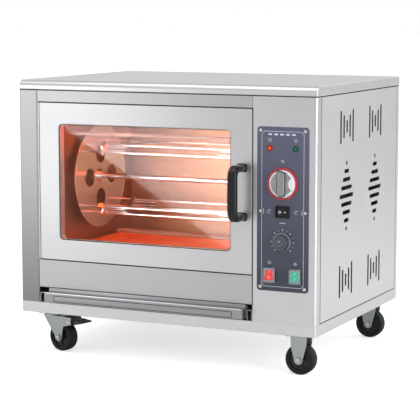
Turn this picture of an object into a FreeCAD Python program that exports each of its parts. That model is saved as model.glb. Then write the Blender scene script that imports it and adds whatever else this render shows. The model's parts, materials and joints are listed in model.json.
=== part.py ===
import FreeCAD, Part
import math
import os
import Sketcher

# Rotisserie oven: a sheet-metal cabinet on casters with a glazed door hinged on the left, a control
# column on the right, a drip tray under the door and a turning carousel of spits in the chamber.
# Frame: +X to the right seen from the front, +Y to the back, +Z up, millimetres. The origin is on
# the floor, in the middle of the overall length and depth.

DIMENSIONS = [
    # cabinet shell
    ("width", 700, "width of the body"),
    ("depth", 508, "depth of the body, front plane to back plane"),
    ("caster_height", 88, "floor to the underside of the base"),
    ("base_height", 24, "height of the base band"),
    ("tray_slot_height", 34, "height of the slot that the drip tray slides in"),
    ("fascia_height", 62, "height of the fascia over the tray slot"),
    ("door_opening_height", 346, "height of the door opening"),
    ("header_height", 27, "height of the header over the door"),
    ("cover_height", 20, "height of the top cover's skirt"),
    ("stile_width", 45, "front width of the left stile"),
    ("column_width", 142, "front width of the control column"),
    ("sheet", 1.2, "outer sheet thickness"),
    ("base_sheet", 2, "base sheet thickness"),
    ("base_ledge", 12, "width of the ledge turned in round the base"),
    ("base_bend", 4, "corner radius of the base band"),
    ("stile_bend", 3, "bend radius of the left stile"),
    ("column_bend", 6, "bend radius of the control column's corner"),
    ("cover_bullnose", 14, "radius of the cover's front edge"),
    ("corner_return", 22, "depth of the column's corner along the side"),
    ("rear_flange", 16, "depth of the back panel's side flanges"),
    ("panel_lip", 14, "width of the lips turned in on the panels"),
    ("panel_seam", 0.6, "open seam between neighbouring panels"),
    # service panel vents
    ("vent_width", 8.5, "width of a vent slot"),
    ("vent_pitch", 18, "distance between neighbouring slots of one group"),
    ("vent_step", 18, "length that the slots gain from one to the next"),
    ("vent_tall", 70, "length of the tallest upright slot"),
    ("vent_column_gap", 176, "distance between the front and the back vent columns"),
    ("vent_front_set", 171, "front plane to the middle of the front vent column"),
    ("vent_top_level", 422, "base to the middle of the top groups"),
    ("vent_mid_level", 275, "base to the middle of the level slots"),
    ("vent_low_level", 95, "base to the middle of the bottom groups"),
    # door
    ("door_thickness", 24, "thickness of the door"),
    ("door_gap", 1.2, "gap round the door"),
    ("door_rear_gap", 1.0, "gap between the door's back and the frame it shuts on"),
    ("door_bend", 1.0, "radius of the door's front edges"),
    ("hinge_radius", 2.5, "radius of the hinge knuckles"),
    ("hinge_leaf", 1.1, "thickness of the hinge leaves"),
    ("hinge_pin_radius", 1.04, "radius of the hinge pin"),
    ("hinge_proud", 1.0, "how far the pin's axis lies in front of the door"),
    ("knuckle_gap", 0.5, "gap between neighbouring knuckles"),
    ("window_side", 48, "door edge to the window, left and right"),
    ("window_low", 45, "door edge to the window, below and above"),
    ("window_radius", 10, "corner radius of the window"),
    ("gasket_lip", 1.6, "how far the gasket shows inside the window's edge"),
    ("gasket_thickness", 1.5, "thickness of the gasket"),
    ("glass_thickness", 4, "thickness of the door glass"),
    ("glass_overlap", 11, "glass hidden behind the door skin on each side"),
    ("fit_gap", 0.3, "gap between parts that are laid together"),
    ("running_gap", 0.06, "radial clearance of a running fit"),
    ("handle_spacing", 102, "distance between the handle's posts"),
    ("handle_reach", 56, "door front to the outermost face of the handle"),
    ("handle_grip_width", 21, "width of the handle"),
    ("handle_grip_depth", 15, "depth of the handle's section"),
    ("handle_elbow", 16, "radius of the handle's elbows"),
    ("handle_inset", 22, "door edge to the handle's middle"),
    ("handle_level", 292, "base to the middle of the handle"),
    # chamber
    ("return_lip", 12, "overlap of the door frame behind the front panels"),
    ("frame_lip", 8, "width of the frame that shows inside the door opening"),
    ("liner_sheet", 1.0, "thickness of the chamber's sheets"),
    ("chamber_depth", 394, "depth of the chamber"),
    ("insulation_thickness", 24, "thickness of the insulation slabs"),
    ("drain_width", 12, "width of a drain slot in the floor"),
    ("drain_length", 56, "length of a drain slot in the floor"),
    ("drain_pitch", 84, "distance between the drain slots"),
    # drip tray
    ("tray_left_gap", 25, "stile to the drip tray"),
    ("tray_right_gap", 13, "control column to the drip tray"),
    ("tray_lift", 5, "base band to the underside of the tray"),
    ("tray_height", 21, "height of the tray's front"),
    ("tray_reach", 22, "how far the tray's front stands out"),
    ("tray_length", 400, "depth of the tray inside the cabinet"),
    ("tray_rim", 6, "width of the tray's side rims"),
    ("tray_play", 0.5, "side clearance of the tray and its runners"),
    # carousel
    ("carousel_setback", 215, "front plane to the carousel's axis"),
    ("carousel_level", 286, "base to the carousel's axis"),
    ("shaft_radius", 6, "radius of the carousel shaft"),
    ("disc_radius", 118, "radius of the carousel discs"),
    ("disc_thickness", 2, "thickness of the carousel discs"),
    ("disc_inset", 29, "chamber wall to the disc at the left"),
    ("disc_right_inset", 33, "chamber wall to the disc at the right"),
    ("hub_radius", 14, "radius of the disc hubs"),
    ("hub_length", 14, "length of the disc hubs"),
    ("spit_circle", 98, "radius of the circle that the spits lie on"),
    ("rod_radius", 2.5, "radius of a spit rod"),
    ("rod_spacing", 22, "distance between the two rods of a spit"),
    ("prong_length", 46, "length of a meat fork's prongs"),
    ("fork_inset", 40, "disc to the meat fork"),
    # drive
    ("gear_module", 2, "tooth module of the gears"),
    ("gear_width", 8, "face width of the gears"),
    ("bush_radius", 10, "outer radius of the shaft bushes"),
    ("bush_length", 8, "length of the bush outside the chamber wall"),
    ("bracket_reach", 24, "chamber wall to the motor bracket's plate"),
    ("bracket_sheet", 2, "thickness of the motor bracket"),
    ("motor_radius", 30, "radius of the motor's gearbox"),
    ("motor_can_radius", 25, "radius of the motor"),
    ("motor_shaft_radius", 3, "radius of the motor's output shaft"),
    # heaters and lamp
    ("heater_radius", 4, "radius of a heater tube"),
    ("heater_spacing", 22, "distance between the two legs of a heater"),
    ("heater_end_gap", 22, "left chamber wall to the heater bends"),
    ("upper_spread", 140, "carousel axis to the upper heaters, front to back"),
    ("lower_spread", 100, "carousel axis to the lower heaters, front to back"),
    ("upper_rise", 119, "carousel axis up to the upper heaters"),
    ("lower_drop", 140, "carousel axis down to the lower heaters"),
    ("bushing_radius", 6.8, "radius of the heaters' wall bushings"),
    ("lamp_radius", 16, "radius of the lamp glass"),
    ("lamp_setback", 300, "front plane to the lamp"),
    ("lamp_level", 400, "base to the lamp"),
    # controls
    ("overlay_width", 114, "width of the control overlay"),
    ("overlay_low", 91, "base to the overlay's lower edge"),
    ("overlay_height", 339, "height of the control overlay"),
    ("overlay_inset", 17, "body's right side to the overlay"),
    ("overlay_radius", 7, "corner radius of the overlay"),
    ("overlay_thickness", 1.5, "thickness of the overlay"),
    ("overlay_screw_inset", 8, "overlay edge to its screws"),
    ("control_inset", 74, "body's right side to the knobs' axis"),
    ("control_pair", 28.5, "knob axis to the lamps and rockers beside it"),
    ("indicator_level", 386, "base to the indicator lamps"),
    ("thermostat_level", 314, "base to the thermostat knob"),
    ("black_rocker_level", 256, "base to the black rocker"),
    ("timer_level", 194, "base to the timer knob"),
    ("rocker_level", 124, "base to the red and the green rocker"),
    ("dial_radius", 33.5, "radius of the thermostat dial"),
    ("timer_radius", 21.5, "radius of the timer knob"),
    ("knob_gap", 0.5, "gap between the overlay and the knobs"),
    ("spindle_radius", 3, "radius of the control spindles"),
    ("bezel_width", 25, "width of a rocker's bezel"),
    ("bezel_height", 31, "height of a rocker's bezel"),
    ("bezel_thickness", 2.4, "thickness of a rocker's bezel"),
    ("housing_margin", 1.6, "bezel edge to the housing behind it"),
    ("housing_wall", 1.3, "wall of a rocker housing"),
    ("rocker_pin", 1.5, "radius of a rocker's pivot pins"),
    ("indicator_radius", 6.5, "radius of an indicator lamp's flange"),
    # casters
    ("wheel_radius", 32.5, "radius of a wheel"),
    ("wheel_width", 26, "width of a wheel"),
    ("axle_radius", 4, "radius of a wheel's axle"),
    ("fork_gap", 30, "distance between a fork's legs"),
    ("fork_sheet", 2.5, "thickness of a fork"),
    ("leg_end_radius", 9.5, "radius of a fork leg's end"),
    ("caster_plate", 60, "side of a caster's square plate"),
    ("plate_thickness", 3, "thickness of a caster's plate"),
    ("race_radius", 20, "radius of the swivel race"),
    ("race_height", 5.2, "height of the swivel race"),
    ("caster_trail", 28, "swivel axis to the wheel's axle"),
    ("pedal_arm", 30, "wheel's axle to the brake pedal's pivot"),
    ("pedal_reach", 70, "wheel's axle to the tip of the brake pedal"),
    ("left_caster_inset", 58, "body's side to the swivel axis"),
    ("right_caster_inset", 48, "body's side to the middle of the rigid casters"),
    ("caster_setback", 42, "front and back planes to the casters' plates"),
    ("bolt_inset", 8, "edge of a caster's plate to its bolts"),
    # connections at the back
    ("gland_reach", 20, "back plane to the end of the cable gland"),
    ("gland_bore", 4.6, "radius of the cable gland's bore"),
    ("gland_inset", 70, "body's side to the cable gland"),
    ("gland_level", 70, "base to the cable gland"),
]

GEAR_TEETH = 48
PINION_TEETH = 16
KNUCKLES = 13
SPITS = 4
FRONT_CASTER_YAW = -14
REAR_CASTER_YAW = 20
ROCKER_TILT = 9

Vector = FreeCAD.Vector
Rotation = FreeCAD.Rotation
UPRIGHT = Rotation()
TOWARDS_X = Rotation(Vector(0, 1, 0), 90)
TOWARDS_BACK = Rotation(Vector(1, 0, 0), -90)
TOWARDS_FRONT = Rotation(Vector(1, 0, 0), 90)
TOWARDS_FLOOR = Rotation(Vector(1, 0, 0), 180)


class Size:
    """A length known both as a number and as the spreadsheet formula that gives it."""

    def __init__(self, value, formula):
        self.value = value
        self.formula = formula

    def __add__(self, other):
        other = as_size(other)
        return Size(self.value + other.value, f"({self.formula} + {other.formula})")

    def __sub__(self, other):
        other = as_size(other)
        return Size(self.value - other.value, f"({self.formula} - {other.formula})")

    def __mul__(self, factor):
        return Size(self.value * factor, f"({self.formula} * {factor:.9g})")

    def __truediv__(self, divisor):
        return Size(self.value / divisor, f"({self.formula} / {divisor:.9g})")

    def __neg__(self):
        return self * -1

    def __radd__(self, other):
        return as_size(other) + self

    def __rsub__(self, other):
        return as_size(other) - self

    __rmul__ = __mul__


def as_size(number):
    return number if isinstance(number, Size) else Size(number, f"({number:.9g})")


class Dimensions:
    """The driving dimensions, each an attribute named as its spreadsheet cell."""

    def __init__(self, document):
        table = document.addObject("Spreadsheet::Sheet", "Dims")
        for row, (alias, number, meaning) in enumerate(DIMENSIONS, 1):
            table.set(f"A{row}", meaning)
            table.set(f"B{row}", str(number))
            table.setAlias(f"B{row}", alias)
            setattr(self, alias, Size(number, f"Dims.{alias}"))
        document.recompute()


DOC = FreeCAD.newDocument("rotisserie_oven")
d = Dimensions(DOC)
NODES = []


# ---- shared ways of building -------------------------------------------------------------------

def node(name, piece):
    """Name a finished sub-part; the label is the name of its file."""
    piece.Label = name
    NODES.append(piece)
    return piece


def bind(thing, setting, size):
    thing.setExpression(setting, as_size(size).formula)


def place(thing, spot, turn=UPRIGHT):
    """Put a piece's own origin at a spot, turned about it."""
    spot = [as_size(size) for size in spot]
    thing.Placement = FreeCAD.Placement(Vector(*[size.value for size in spot]), turn)
    for axis, size in zip("xyz", spot):
        bind(thing, f"Placement.Base.{axis}", size)
    return thing


def block(name, low, high):
    """A box between its lowest and its highest corner."""
    box = DOC.addObject("Part::Box", name)
    for setting, start, end in zip(("Length", "Width", "Height"), low, high):
        bind(box, setting, as_size(end) - start)
    return place(box, low)


def rod(name, start, length, radius, turn=UPRIGHT):
    """A cylinder from a start point, along the turned Z axis."""
    cylinder = DOC.addObject("Part::Cylinder", name)
    bind(cylinder, "Height", length)
    bind(cylinder, "Radius", radius)
    return place(cylinder, start, turn)


def taper(name, start, length, radius, end_radius, turn=UPRIGHT):
    cone = DOC.addObject("Part::Cone", name)
    bind(cone, "Height", length)
    bind(cone, "Radius1", radius)
    bind(cone, "Radius2", end_radius)
    return place(cone, start, turn)


def fused(name, pieces):
    joined = DOC.addObject("Part::MultiFuse", name)
    joined.Shapes = pieces
    return joined


def less(name, base, tools):
    """A piece with holes and cuts taken out of it."""
    result = DOC.addObject("Part::Cut", name)
    result.Base = base
    result.Tool = tools[0] if len(tools) == 1 else group(name + "_tools", tools)
    return result


def group(name, pieces):
    """Several separate solids kept as one sub-part."""
    collection = DOC.addObject("Part::Compound", name)
    collection.Links = pieces
    return collection


def copy_of(master, name, spot, turn=UPRIGHT):
    link = DOC.addObject("App::Link", name)
    link.LinkedObject = master
    return place(link, spot, turn)


def new_body(name):
    return DOC.addObject("PartDesign::Body", name)


def sketch_on(body, plane_role, level):
    """A sketch on one of the body's own planes, moved to a level along +X, +Y or +Z."""
    plane = next(item for item in body.Origin.OriginFeatures if item.Role == plane_role)
    sketch = body.newObject("Sketcher::SketchObject", f"{body.Name}_sketch")
    sketch.AttachmentSupport = [(plane, "")]
    sketch.MapMode = "FlatFace"
    faces_front = plane_role == "XZ_Plane"
    bind(sketch, "AttachmentOffset.Base.z", -as_size(level) if faces_front else level)
    return sketch


def faces_front(sketch):
    return sketch.AttachmentSupport[0][0].Role == "XZ_Plane"


def constrain(sketch, constraints):
    """Add constraints given as (kind, arguments..., size); a size binds its constraint."""
    made = []
    for constraint in constraints:
        values = [item.value if isinstance(item, Size) else item for item in constraint]
        made.append(Sketcher.Constraint(*values))
    indices = sketch.addConstraint(made)
    for index, constraint in zip(indices, constraints):
        if isinstance(constraint[-1], Size):
            sketch.setExpression(f"Constraints[{index}]", constraint[-1].formula)


def held(kind, element, point, size):
    """Hold one coordinate of a sketch point at a size measured from the sketch's origin."""
    return (kind, -1, 1, element, point, as_size(size))


def polygon(sketch, corners):
    """A closed outline of straight lines, every corner held by its two coordinates."""
    corners = [(as_size(x), as_size(y)) for x, y in corners]
    points = [Vector(x.value, y.value, 0) for x, y in corners]
    first = sketch.GeometryCount
    lines = [Part.LineSegment(start, end) for start, end in zip(points, points[1:] + points[:1])]
    sketch.addGeometry(lines, False)
    constraints = []
    for index, (x, y) in enumerate(corners):
        line = first + index
        following = first + (index + 1) % len(corners)
        constraints.append(("Coincident", line, 2, following, 1))
        constraints.append(held("DistanceX", line, 1, x))
        constraints.append(held("DistanceY", line, 1, y))
    constrain(sketch, constraints)


def outline(sketch, corners):
    """A closed outline of level and upright lines; a corner's third value rounds it."""
    corners = [tuple(as_size(size) for size in corner) for corner in corners]
    count = len(corners)
    points = [Vector(corner[0].value, corner[1].value, 0) for corner in corners]
    steps = [(points[(i + 1) % count] - points[i]).normalize() for i in range(count)]
    radii = [corner[2].value if len(corner) == 3 else 0 for corner in corners]
    first = sketch.GeometryCount
    shapes = []
    constraints = []
    for i in range(count):
        start = points[i] + steps[i] * radii[i]
        end = points[(i + 1) % count] - steps[i] * radii[(i + 1) % count]
        shapes.append(Part.LineSegment(start, end))
        if abs(steps[i].y) < 0.5:
            constraints.append(("Horizontal", first + i))
            constraints.append(held("DistanceY", first + i, 1, corners[i][1]))
        else:
            constraints.append(("Vertical", first + i))
            constraints.append(held("DistanceX", first + i, 1, corners[i][0]))
    for i in range(count):
        before = first + (i - 1) % count
        after = first + i
        if not radii[i]:
            constraints.append(("Coincident", before, 2, after, 1))
            continue
        arrive = points[i] - steps[i - 1] * radii[i]
        leave = points[i] + steps[i] * radii[i]
        centre = arrive + steps[i] * radii[i]
        turns_left = steps[i - 1].cross(steps[i]).z > 0
        start, end = (arrive, leave) if turns_left else (leave, arrive)
        start_angle = math.atan2(start.y - centre.y, start.x - centre.x)
        end_angle = math.atan2(end.y - centre.y, end.x - centre.x)
        if end_angle < start_angle:
            end_angle += 2 * math.pi
        arc = first + len(shapes)
        circle = Part.Circle(centre, Vector(0, 0, 1), radii[i])
        shapes.append(Part.ArcOfCircle(circle, start_angle, end_angle))
        arc_start, arc_end = (1, 2) if turns_left else (2, 1)
        constraints.append(("Tangent", before, 2, arc, arc_start))
        constraints.append(("Tangent", arc, arc_end, after, 1))
        constraints.append(("Radius", arc, corners[i][2]))
    sketch.addGeometry(shapes, False)
    constrain(sketch, constraints)


def ring(sketch, x, y, radius):
    """A circle held by its centre and its radius."""
    x, y, radius = as_size(x), as_size(y), as_size(radius)
    circle = Part.Circle(Vector(x.value, y.value, 0), Vector(0, 0, 1), radius.value)
    element = sketch.addGeometry(circle, False)
    constrain(sketch, [held("DistanceX", element, 3, x), held("DistanceY", element, 3, y),
                       ("Radius", element, radius)])


def rectangle(sketch, x0, x1, y0, y1, radius=None):
    corners = [(x0, y0), (x1, y0), (x1, y1), (x0, y1)]
    if radius is not None:
        corners = [(x, y, radius) for x, y in corners]
    outline(sketch, corners)


def pad(body, sketch, length):
    """Thicken a sketch towards +X, +Y or +Z."""
    feature = body.newObject("PartDesign::Pad", f"{body.Name}_pad")
    feature.Profile = sketch
    bind(feature, "Length", length)
    feature.Reversed = faces_front(sketch)
    return feature


def pocket(body, sketch, length):
    """Cut a sketch out towards +X, +Y or +Z."""
    feature = body.newObject("PartDesign::Pocket", f"{body.Name}_pocket")
    feature.Profile = sketch
    bind(feature, "Length", length)
    feature.Reversed = not faces_front(sketch)
    return feature


def repeat(body, features, sketch, length, count):
    """Copy features in a row along the sketch's normal."""
    feature = body.newObject("PartDesign::LinearPattern", f"{body.Name}_row")
    feature.Originals = features
    feature.Direction = (sketch, ["N_Axis"])
    bind(feature, "Length", length)
    feature.Occurrences = count
    body.Tip = feature
    return feature


def rounded_edges(body, radius, lines):
    """Round the straight edges that lie on the lines given, each as {axis: coordinate}."""
    body.recompute(True)
    base = body.Tip
    names = []
    for number, edge in enumerate(base.Shape.Edges, 1):
        ends = [vertex.Point for vertex in edge.Vertexes]
        for line in lines:
            matches = [abs(getattr(end, axis) - size.value) < 1e-5
                       for end in ends for axis, size in line.items()]
            if len(ends) == 2 and all(matches):
                names.append(f"Edge{number}")
    if len(names) != len(lines):
        raise ValueError(f"{body.Name}: found {len(names)} edges to round, not {len(lines)}")
    feature = body.newObject("PartDesign::Fillet", f"{body.Name}_fillet")
    feature.Base = (base, names)
    bind(feature, "Radius", radius)
    return feature


def folded(path, thickness):
    """The section of a sheet folded along a path of level and upright runs.

    The sheet lies on the right of the path. A corner's third value is its outer bend radius."""
    path = [tuple(as_size(size) for size in corner) for corner in path]
    runs = []
    for start, end in zip(path, path[1:]):
        across = end[0].value - start[0].value
        along = end[1].value - start[1].value
        length = math.hypot(across, along)
        runs.append((round(across / length), round(along / length)))
    inner = []
    for index, corner in enumerate(path):
        beside = runs[max(index - 1, 0):index + 1]
        shift_x = sum(along for across, along in beside)
        shift_y = sum(-across for across, along in beside)
        point = (corner[0] + thickness * shift_x, corner[1] + thickness * shift_y)
        if len(corner) == 3:
            (before_x, before_y), (after_x, after_y) = beside
            turns_right = before_x * after_y - before_y * after_x < 0
            bend = corner[2] - thickness if turns_right else corner[2] + thickness
            point += (bend,)
        inner.append(point)
    return path + inner[::-1]


def folded_sheet(name, plane_role, path, thickness, start, length):
    """A folded sheet: its section on one plane, run out to a length."""
    body = new_body(name)
    sketch = sketch_on(body, plane_role, start)
    outline(sketch, folded(path, thickness))
    pad(body, sketch, length)
    return body


def turned(name, corners):
    """A body of revolution about its own Z axis, from (radius, height) corners."""
    body = new_body(name)
    sketch = sketch_on(body, "XZ_Plane", 0)
    polygon(sketch, corners)
    feature = body.newObject("PartDesign::Revolution", f"{name}_turning")
    feature.Profile = sketch
    feature.ReferenceAxis = (sketch, ["V_Axis"])
    feature.Angle = 360
    return body


# ---- planes and levels that the pieces share ---------------------------------------------------

right_side = d.width / 2
left_side = -right_side
front = (d.handle_reach - d.gland_reach - d.depth) / 2
back = front + d.depth
base = d.caster_height
band_top = base + d.base_height
slot_top = band_top + d.tray_slot_height
fascia_top = slot_top + d.fascia_height
header_bottom = fascia_top + d.door_opening_height
body_top = header_bottom + d.header_height
cover_top = body_top + d.cover_height
stile_edge = left_side + d.stile_width
column_edge = right_side - d.column_width

frame_front = front + d.door_thickness + d.door_rear_gap
chamber_front = frame_front + d.liner_sheet
chamber_back = chamber_front + d.chamber_depth
chamber_left = stile_edge + d.frame_lip
chamber_right = column_edge - d.frame_lip
chamber_floor = fascia_top + d.frame_lip
chamber_roof = header_bottom - d.frame_lip
return_depth = frame_front - front

axis_y = front + d.carousel_setback
axis_z = base + d.carousel_level
control_x = right_side - d.control_inset
overlay_front = front - d.overlay_thickness


# ---- cabinet shell -----------------------------------------------------------------------------

def make_base_pan():
    """Folded pan with a ledge turned in round its top."""
    body = new_body("base_pan")
    sketch = sketch_on(body, "XY_Plane", base)
    rectangle(sketch, left_side, right_side, front, back, d.base_bend)
    pad(body, sketch, d.base_height)
    mouth = sketch_on(body, "XY_Plane", band_top - d.sheet)
    inset = d.base_ledge
    rectangle(mouth, left_side + inset, right_side - inset, front + inset, back - inset)
    pocket(body, mouth, d.sheet)
    hollow = sketch_on(body, "XY_Plane", base + d.base_sheet)
    wall = d.sheet
    inner_bend = d.base_bend - d.sheet
    rectangle(hollow, left_side + wall, right_side - wall, front + wall, back - wall, inner_bend)
    pocket(body, hollow, d.base_height - d.base_sheet - d.sheet)
    node("base_pan", body)


def make_side_panels():
    panel_height = body_top - d.panel_seam - band_top
    rear_end = back - d.rear_flange - d.panel_seam
    left_path = [
        (stile_edge, front + return_depth),
        (stile_edge, front, d.stile_bend),
        (left_side, front, d.stile_bend),
        (left_side, rear_end, d.stile_bend),
        (left_side + d.panel_lip, rear_end),
    ]
    panel = folded_sheet("left_side_panel", "XY_Plane", left_path, d.sheet, band_top, panel_height)
    node("left_side_panel", panel)

    side_start = front + d.corner_return + d.panel_seam
    lip = right_side - d.panel_lip
    right_path = [(lip, rear_end), (right_side, rear_end), (right_side, side_start), (lip, side_start)]
    low = band_top + d.panel_seam
    height = panel_height - d.panel_seam
    panel = folded_sheet("right_side_panel", "XY_Plane", right_path, d.sheet, low, height)
    cut_vents(panel)
    node("right_side_panel", panel)


def cut_vents(panel):
    """Two columns of slots: upright groups at the top and bottom, level ones between."""
    middle = front + d.vent_front_set
    half_slot = d.vent_width / 2
    first_column = []
    for level in (d.vent_top_level, d.vent_low_level):
        sketch = sketch_on(panel, "YZ_Plane", right_side - d.sheet)
        for place_in_row in range(-2, 3):
            centre = middle + d.vent_pitch * place_in_row
            half_length = d.vent_tall / 2 - d.vent_step * (2 - abs(place_in_row)) * 0.6
            low, high = base + level - half_length, base + level + half_length
            rectangle(sketch, centre - half_slot, centre + half_slot, low, high, half_slot * 0.9)
        first_column.append(pocket(panel, sketch, d.sheet))
    sketch = sketch_on(panel, "YZ_Plane", right_side - d.sheet)
    for place_in_row in range(-4, 5):
        centre = base + d.vent_mid_level + d.vent_pitch * place_in_row * 0.97
        half_length = half_slot + d.vent_step * (4 - abs(place_in_row)) / 2
        near, far = middle - half_length, middle + half_length
        rectangle(sketch, near, far, centre - half_slot, centre + half_slot, half_slot * 0.9)
    first_column.append(pocket(panel, sketch, d.sheet))
    along = sketch_on(panel, "XZ_Plane", 0)
    row = repeat(panel, first_column, along, d.vent_column_gap, 2)
    row.Reversed = True


def make_back_panel():
    lip_left = left_side + d.panel_lip
    lip_right = right_side - d.panel_lip
    flange_end = back - d.rear_flange
    path = [
        (lip_left, flange_end),
        (left_side, flange_end),
        (left_side, back, d.stile_bend),
        (right_side, back, d.stile_bend),
        (right_side, flange_end),
        (lip_right, flange_end),
    ]
    height = body_top - d.panel_seam - band_top
    panel = folded_sheet("back_panel", "XY_Plane", path, d.sheet, band_top, height)
    hole = sketch_on(panel, "XZ_Plane", back - d.sheet)
    ring(hole, right_side - d.gland_inset, base + d.gland_level, d.gland_bore * 2 + d.fit_gap)
    pocket(panel, hole, d.sheet)
    node("back_panel", panel)


def make_top_cover():
    """Inverted pan with a rounded front edge."""
    body = new_body("top_cover")
    section = sketch_on(body, "YZ_Plane", left_side)
    outline(section, [(front, body_top), (back, body_top), (back, cover_top),
                      (front, cover_top, d.cover_bullnose)])
    pad(body, section, d.width)
    hollow = sketch_on(body, "YZ_Plane", left_side + d.sheet)
    inner_radius = d.cover_bullnose - d.sheet
    outline(hollow, [(front + d.sheet, body_top), (back - d.sheet, body_top),
                     (back - d.sheet, cover_top - d.sheet),
                     (front + d.sheet, cover_top - d.sheet, inner_radius)])
    pocket(body, hollow, d.width - d.sheet * 2)
    node("top_cover", body)


def make_front_rails():
    """The header over the door and the fascia below it: channels open to the back."""
    start = stile_edge + d.panel_seam
    length = column_edge - d.panel_seam - start
    for name, low, high in (("front_header", header_bottom, body_top - d.panel_seam),
                            ("lower_fascia", slot_top, fascia_top)):
        path = [(frame_front, low), (front, low, d.stile_bend / 2),
                (front, high, d.stile_bend / 2), (frame_front, high)]
        node(name, folded_sheet(name, "YZ_Plane", path, d.sheet, start, length))


def make_control_column():
    side_end = front + d.corner_return
    path = [
        (right_side - d.panel_lip, side_end),
        (right_side, side_end),
        (right_side, front, d.column_bend),
        (column_edge, front, d.stile_bend / 2),
        (column_edge, frame_front),
    ]
    height = body_top - d.panel_seam - band_top
    body = folded_sheet("control_column", "XY_Plane", path, d.sheet, band_top, height)
    holes = sketch_on(body, "XZ_Plane", front)
    cut_control_holes(holes)
    pocket(body, holes, d.sheet)
    node("control_column", body)


def cut_control_holes(sketch):
    """The same holes go through the column and the overlay in front of it."""
    for level in (d.thermostat_level, d.timer_level):
        ring(sketch, control_x, base + level, d.spindle_radius + 1)
    for side in (-1, 1):
        ring(sketch, control_x + d.control_pair * side, base + d.indicator_level, indicator_hole)
    for x, level, width, height in rocker_places():
        half_width = width / 2 - d.housing_margin + d.fit_gap
        half_height = height / 2 - d.housing_margin + d.fit_gap
        z = base + level
        rectangle(sketch, x - half_width, x + half_width, z - half_height, z + half_height)


def rocker_places():
    """Centre, level, width and height of the red, the green and the black rocker."""
    return [
        (control_x - d.control_pair, d.rocker_level, d.bezel_width, d.bezel_height),
        (control_x + d.control_pair, d.rocker_level, d.bezel_width, d.bezel_height),
        (control_x, d.black_rocker_level, d.bezel_height, d.bezel_width),
    ]


indicator_hole = d.indicator_radius - 1.3


# ---- chamber -----------------------------------------------------------------------------------

def make_door_frame():
    """Flat ring behind the front panels, which the door shuts against."""
    body = new_body("door_frame")
    sketch = sketch_on(body, "XZ_Plane", frame_front)
    lip = d.return_lip
    rectangle(sketch, stile_edge - lip, column_edge + lip, fascia_top - lip, header_bottom + lip)
    pad(body, sketch, d.liner_sheet)
    mouth = sketch_on(body, "XZ_Plane", frame_front)
    rectangle(mouth, chamber_left, chamber_right, chamber_floor, chamber_roof)
    pocket(body, mouth, d.liner_sheet)
    node("door_frame", body)


def make_chamber():
    sheet = d.liner_sheet
    left_plate = block("left_plate", (chamber_left - sheet, chamber_front, chamber_floor - sheet),
                       (chamber_left, chamber_back, chamber_roof + sheet))
    right_plate = block("right_plate", (chamber_right, chamber_front, chamber_floor - sheet),
                        (chamber_right + sheet, chamber_back, chamber_roof + sheet))
    wall_start = chamber_right - sheet
    through = sheet * 3
    holes = [
        rod("shaft_hole", (wall_start, axis_y, axis_z), through, d.bush_radius + d.fit_gap / 2, TOWARDS_X),
        rod("lamp_hole", (wall_start, front + d.lamp_setback, base + d.lamp_level), through,
            d.lamp_radius + d.fit_gap, TOWARDS_X),
    ]
    for index, (y, z) in enumerate(heater_leg_places()):
        hole = rod(f"heater_hole_{index}", (wall_start, y, z), through,
                   d.bushing_radius + d.fit_gap / 2, TOWARDS_X)
        holes.append(hole)
    pierced = less("right_plate_pierced", right_plate, holes)
    node("chamber_side_walls", group("chamber_side_walls", [left_plate, pierced]))

    node("chamber_roof", block("chamber_roof", (chamber_left, chamber_front, chamber_roof),
                               (chamber_right, chamber_back, chamber_roof + sheet)))
    node("chamber_back", block("chamber_back", (chamber_left, chamber_back, chamber_floor - sheet),
                               (chamber_right, chamber_back + sheet, chamber_roof + sheet)))

    floor = new_body("chamber_floor")
    sketch = sketch_on(floor, "XY_Plane", chamber_floor - sheet)
    rectangle(sketch, chamber_left, chamber_right, chamber_front, chamber_back)
    pad(floor, sketch, sheet)
    drains = sketch_on(floor, "XY_Plane", chamber_floor - sheet)
    middle_x = (chamber_left + chamber_right) / 2
    half_length, half_width = d.drain_length / 2, d.drain_width / 2
    for column in (-2, -1, 0, 1, 2):
        x, y = middle_x + d.drain_pitch * column, axis_y - d.drain_pitch
        rectangle(drains, x - half_length, x + half_length, y - half_width, y + half_width,
                  half_width * 0.9)
    drain_row = pocket(floor, drains, sheet)
    along = sketch_on(floor, "XZ_Plane", 0)
    rows = repeat(floor, [drain_row], along, d.drain_pitch * 2, 3)
    rows.Reversed = True
    node("chamber_floor", floor)

    gap = d.fit_gap
    thick = d.insulation_thickness
    roof_low = chamber_roof + sheet + gap
    slabs = [
        block("roof_slab", (chamber_left, chamber_front + gap, roof_low),
              (chamber_right, chamber_back, roof_low + thick)),
        block("back_slab", (chamber_left, chamber_back + sheet + gap, chamber_floor),
              (chamber_right, chamber_back + sheet + gap + thick, chamber_roof)),
        block("left_slab", (chamber_left - sheet - gap - thick, chamber_front + gap, chamber_floor),
              (chamber_left - sheet - gap, chamber_back, chamber_roof)),
    ]
    node("insulation_slabs", group("insulation_slabs", slabs))


def heater_places():
    """Middle of each heater and whether its legs lie side by side (90) or one above the other (0)."""
    return [
        (axis_y - d.upper_spread, axis_z + d.upper_rise, 0),
        (axis_y + d.upper_spread, axis_z + d.upper_rise, 0),
        (axis_y - d.lower_spread, axis_z - d.lower_drop, 90),
        (axis_y + d.lower_spread, axis_z - d.lower_drop, 90),
    ]


def heater_leg_places():
    places = []
    for y, z, turn in heater_places():
        for side in (-0.5, 0.5):
            shift = d.heater_spacing * side
            places.append((y + shift, z) if turn else (y, z + shift))
    return places


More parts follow.
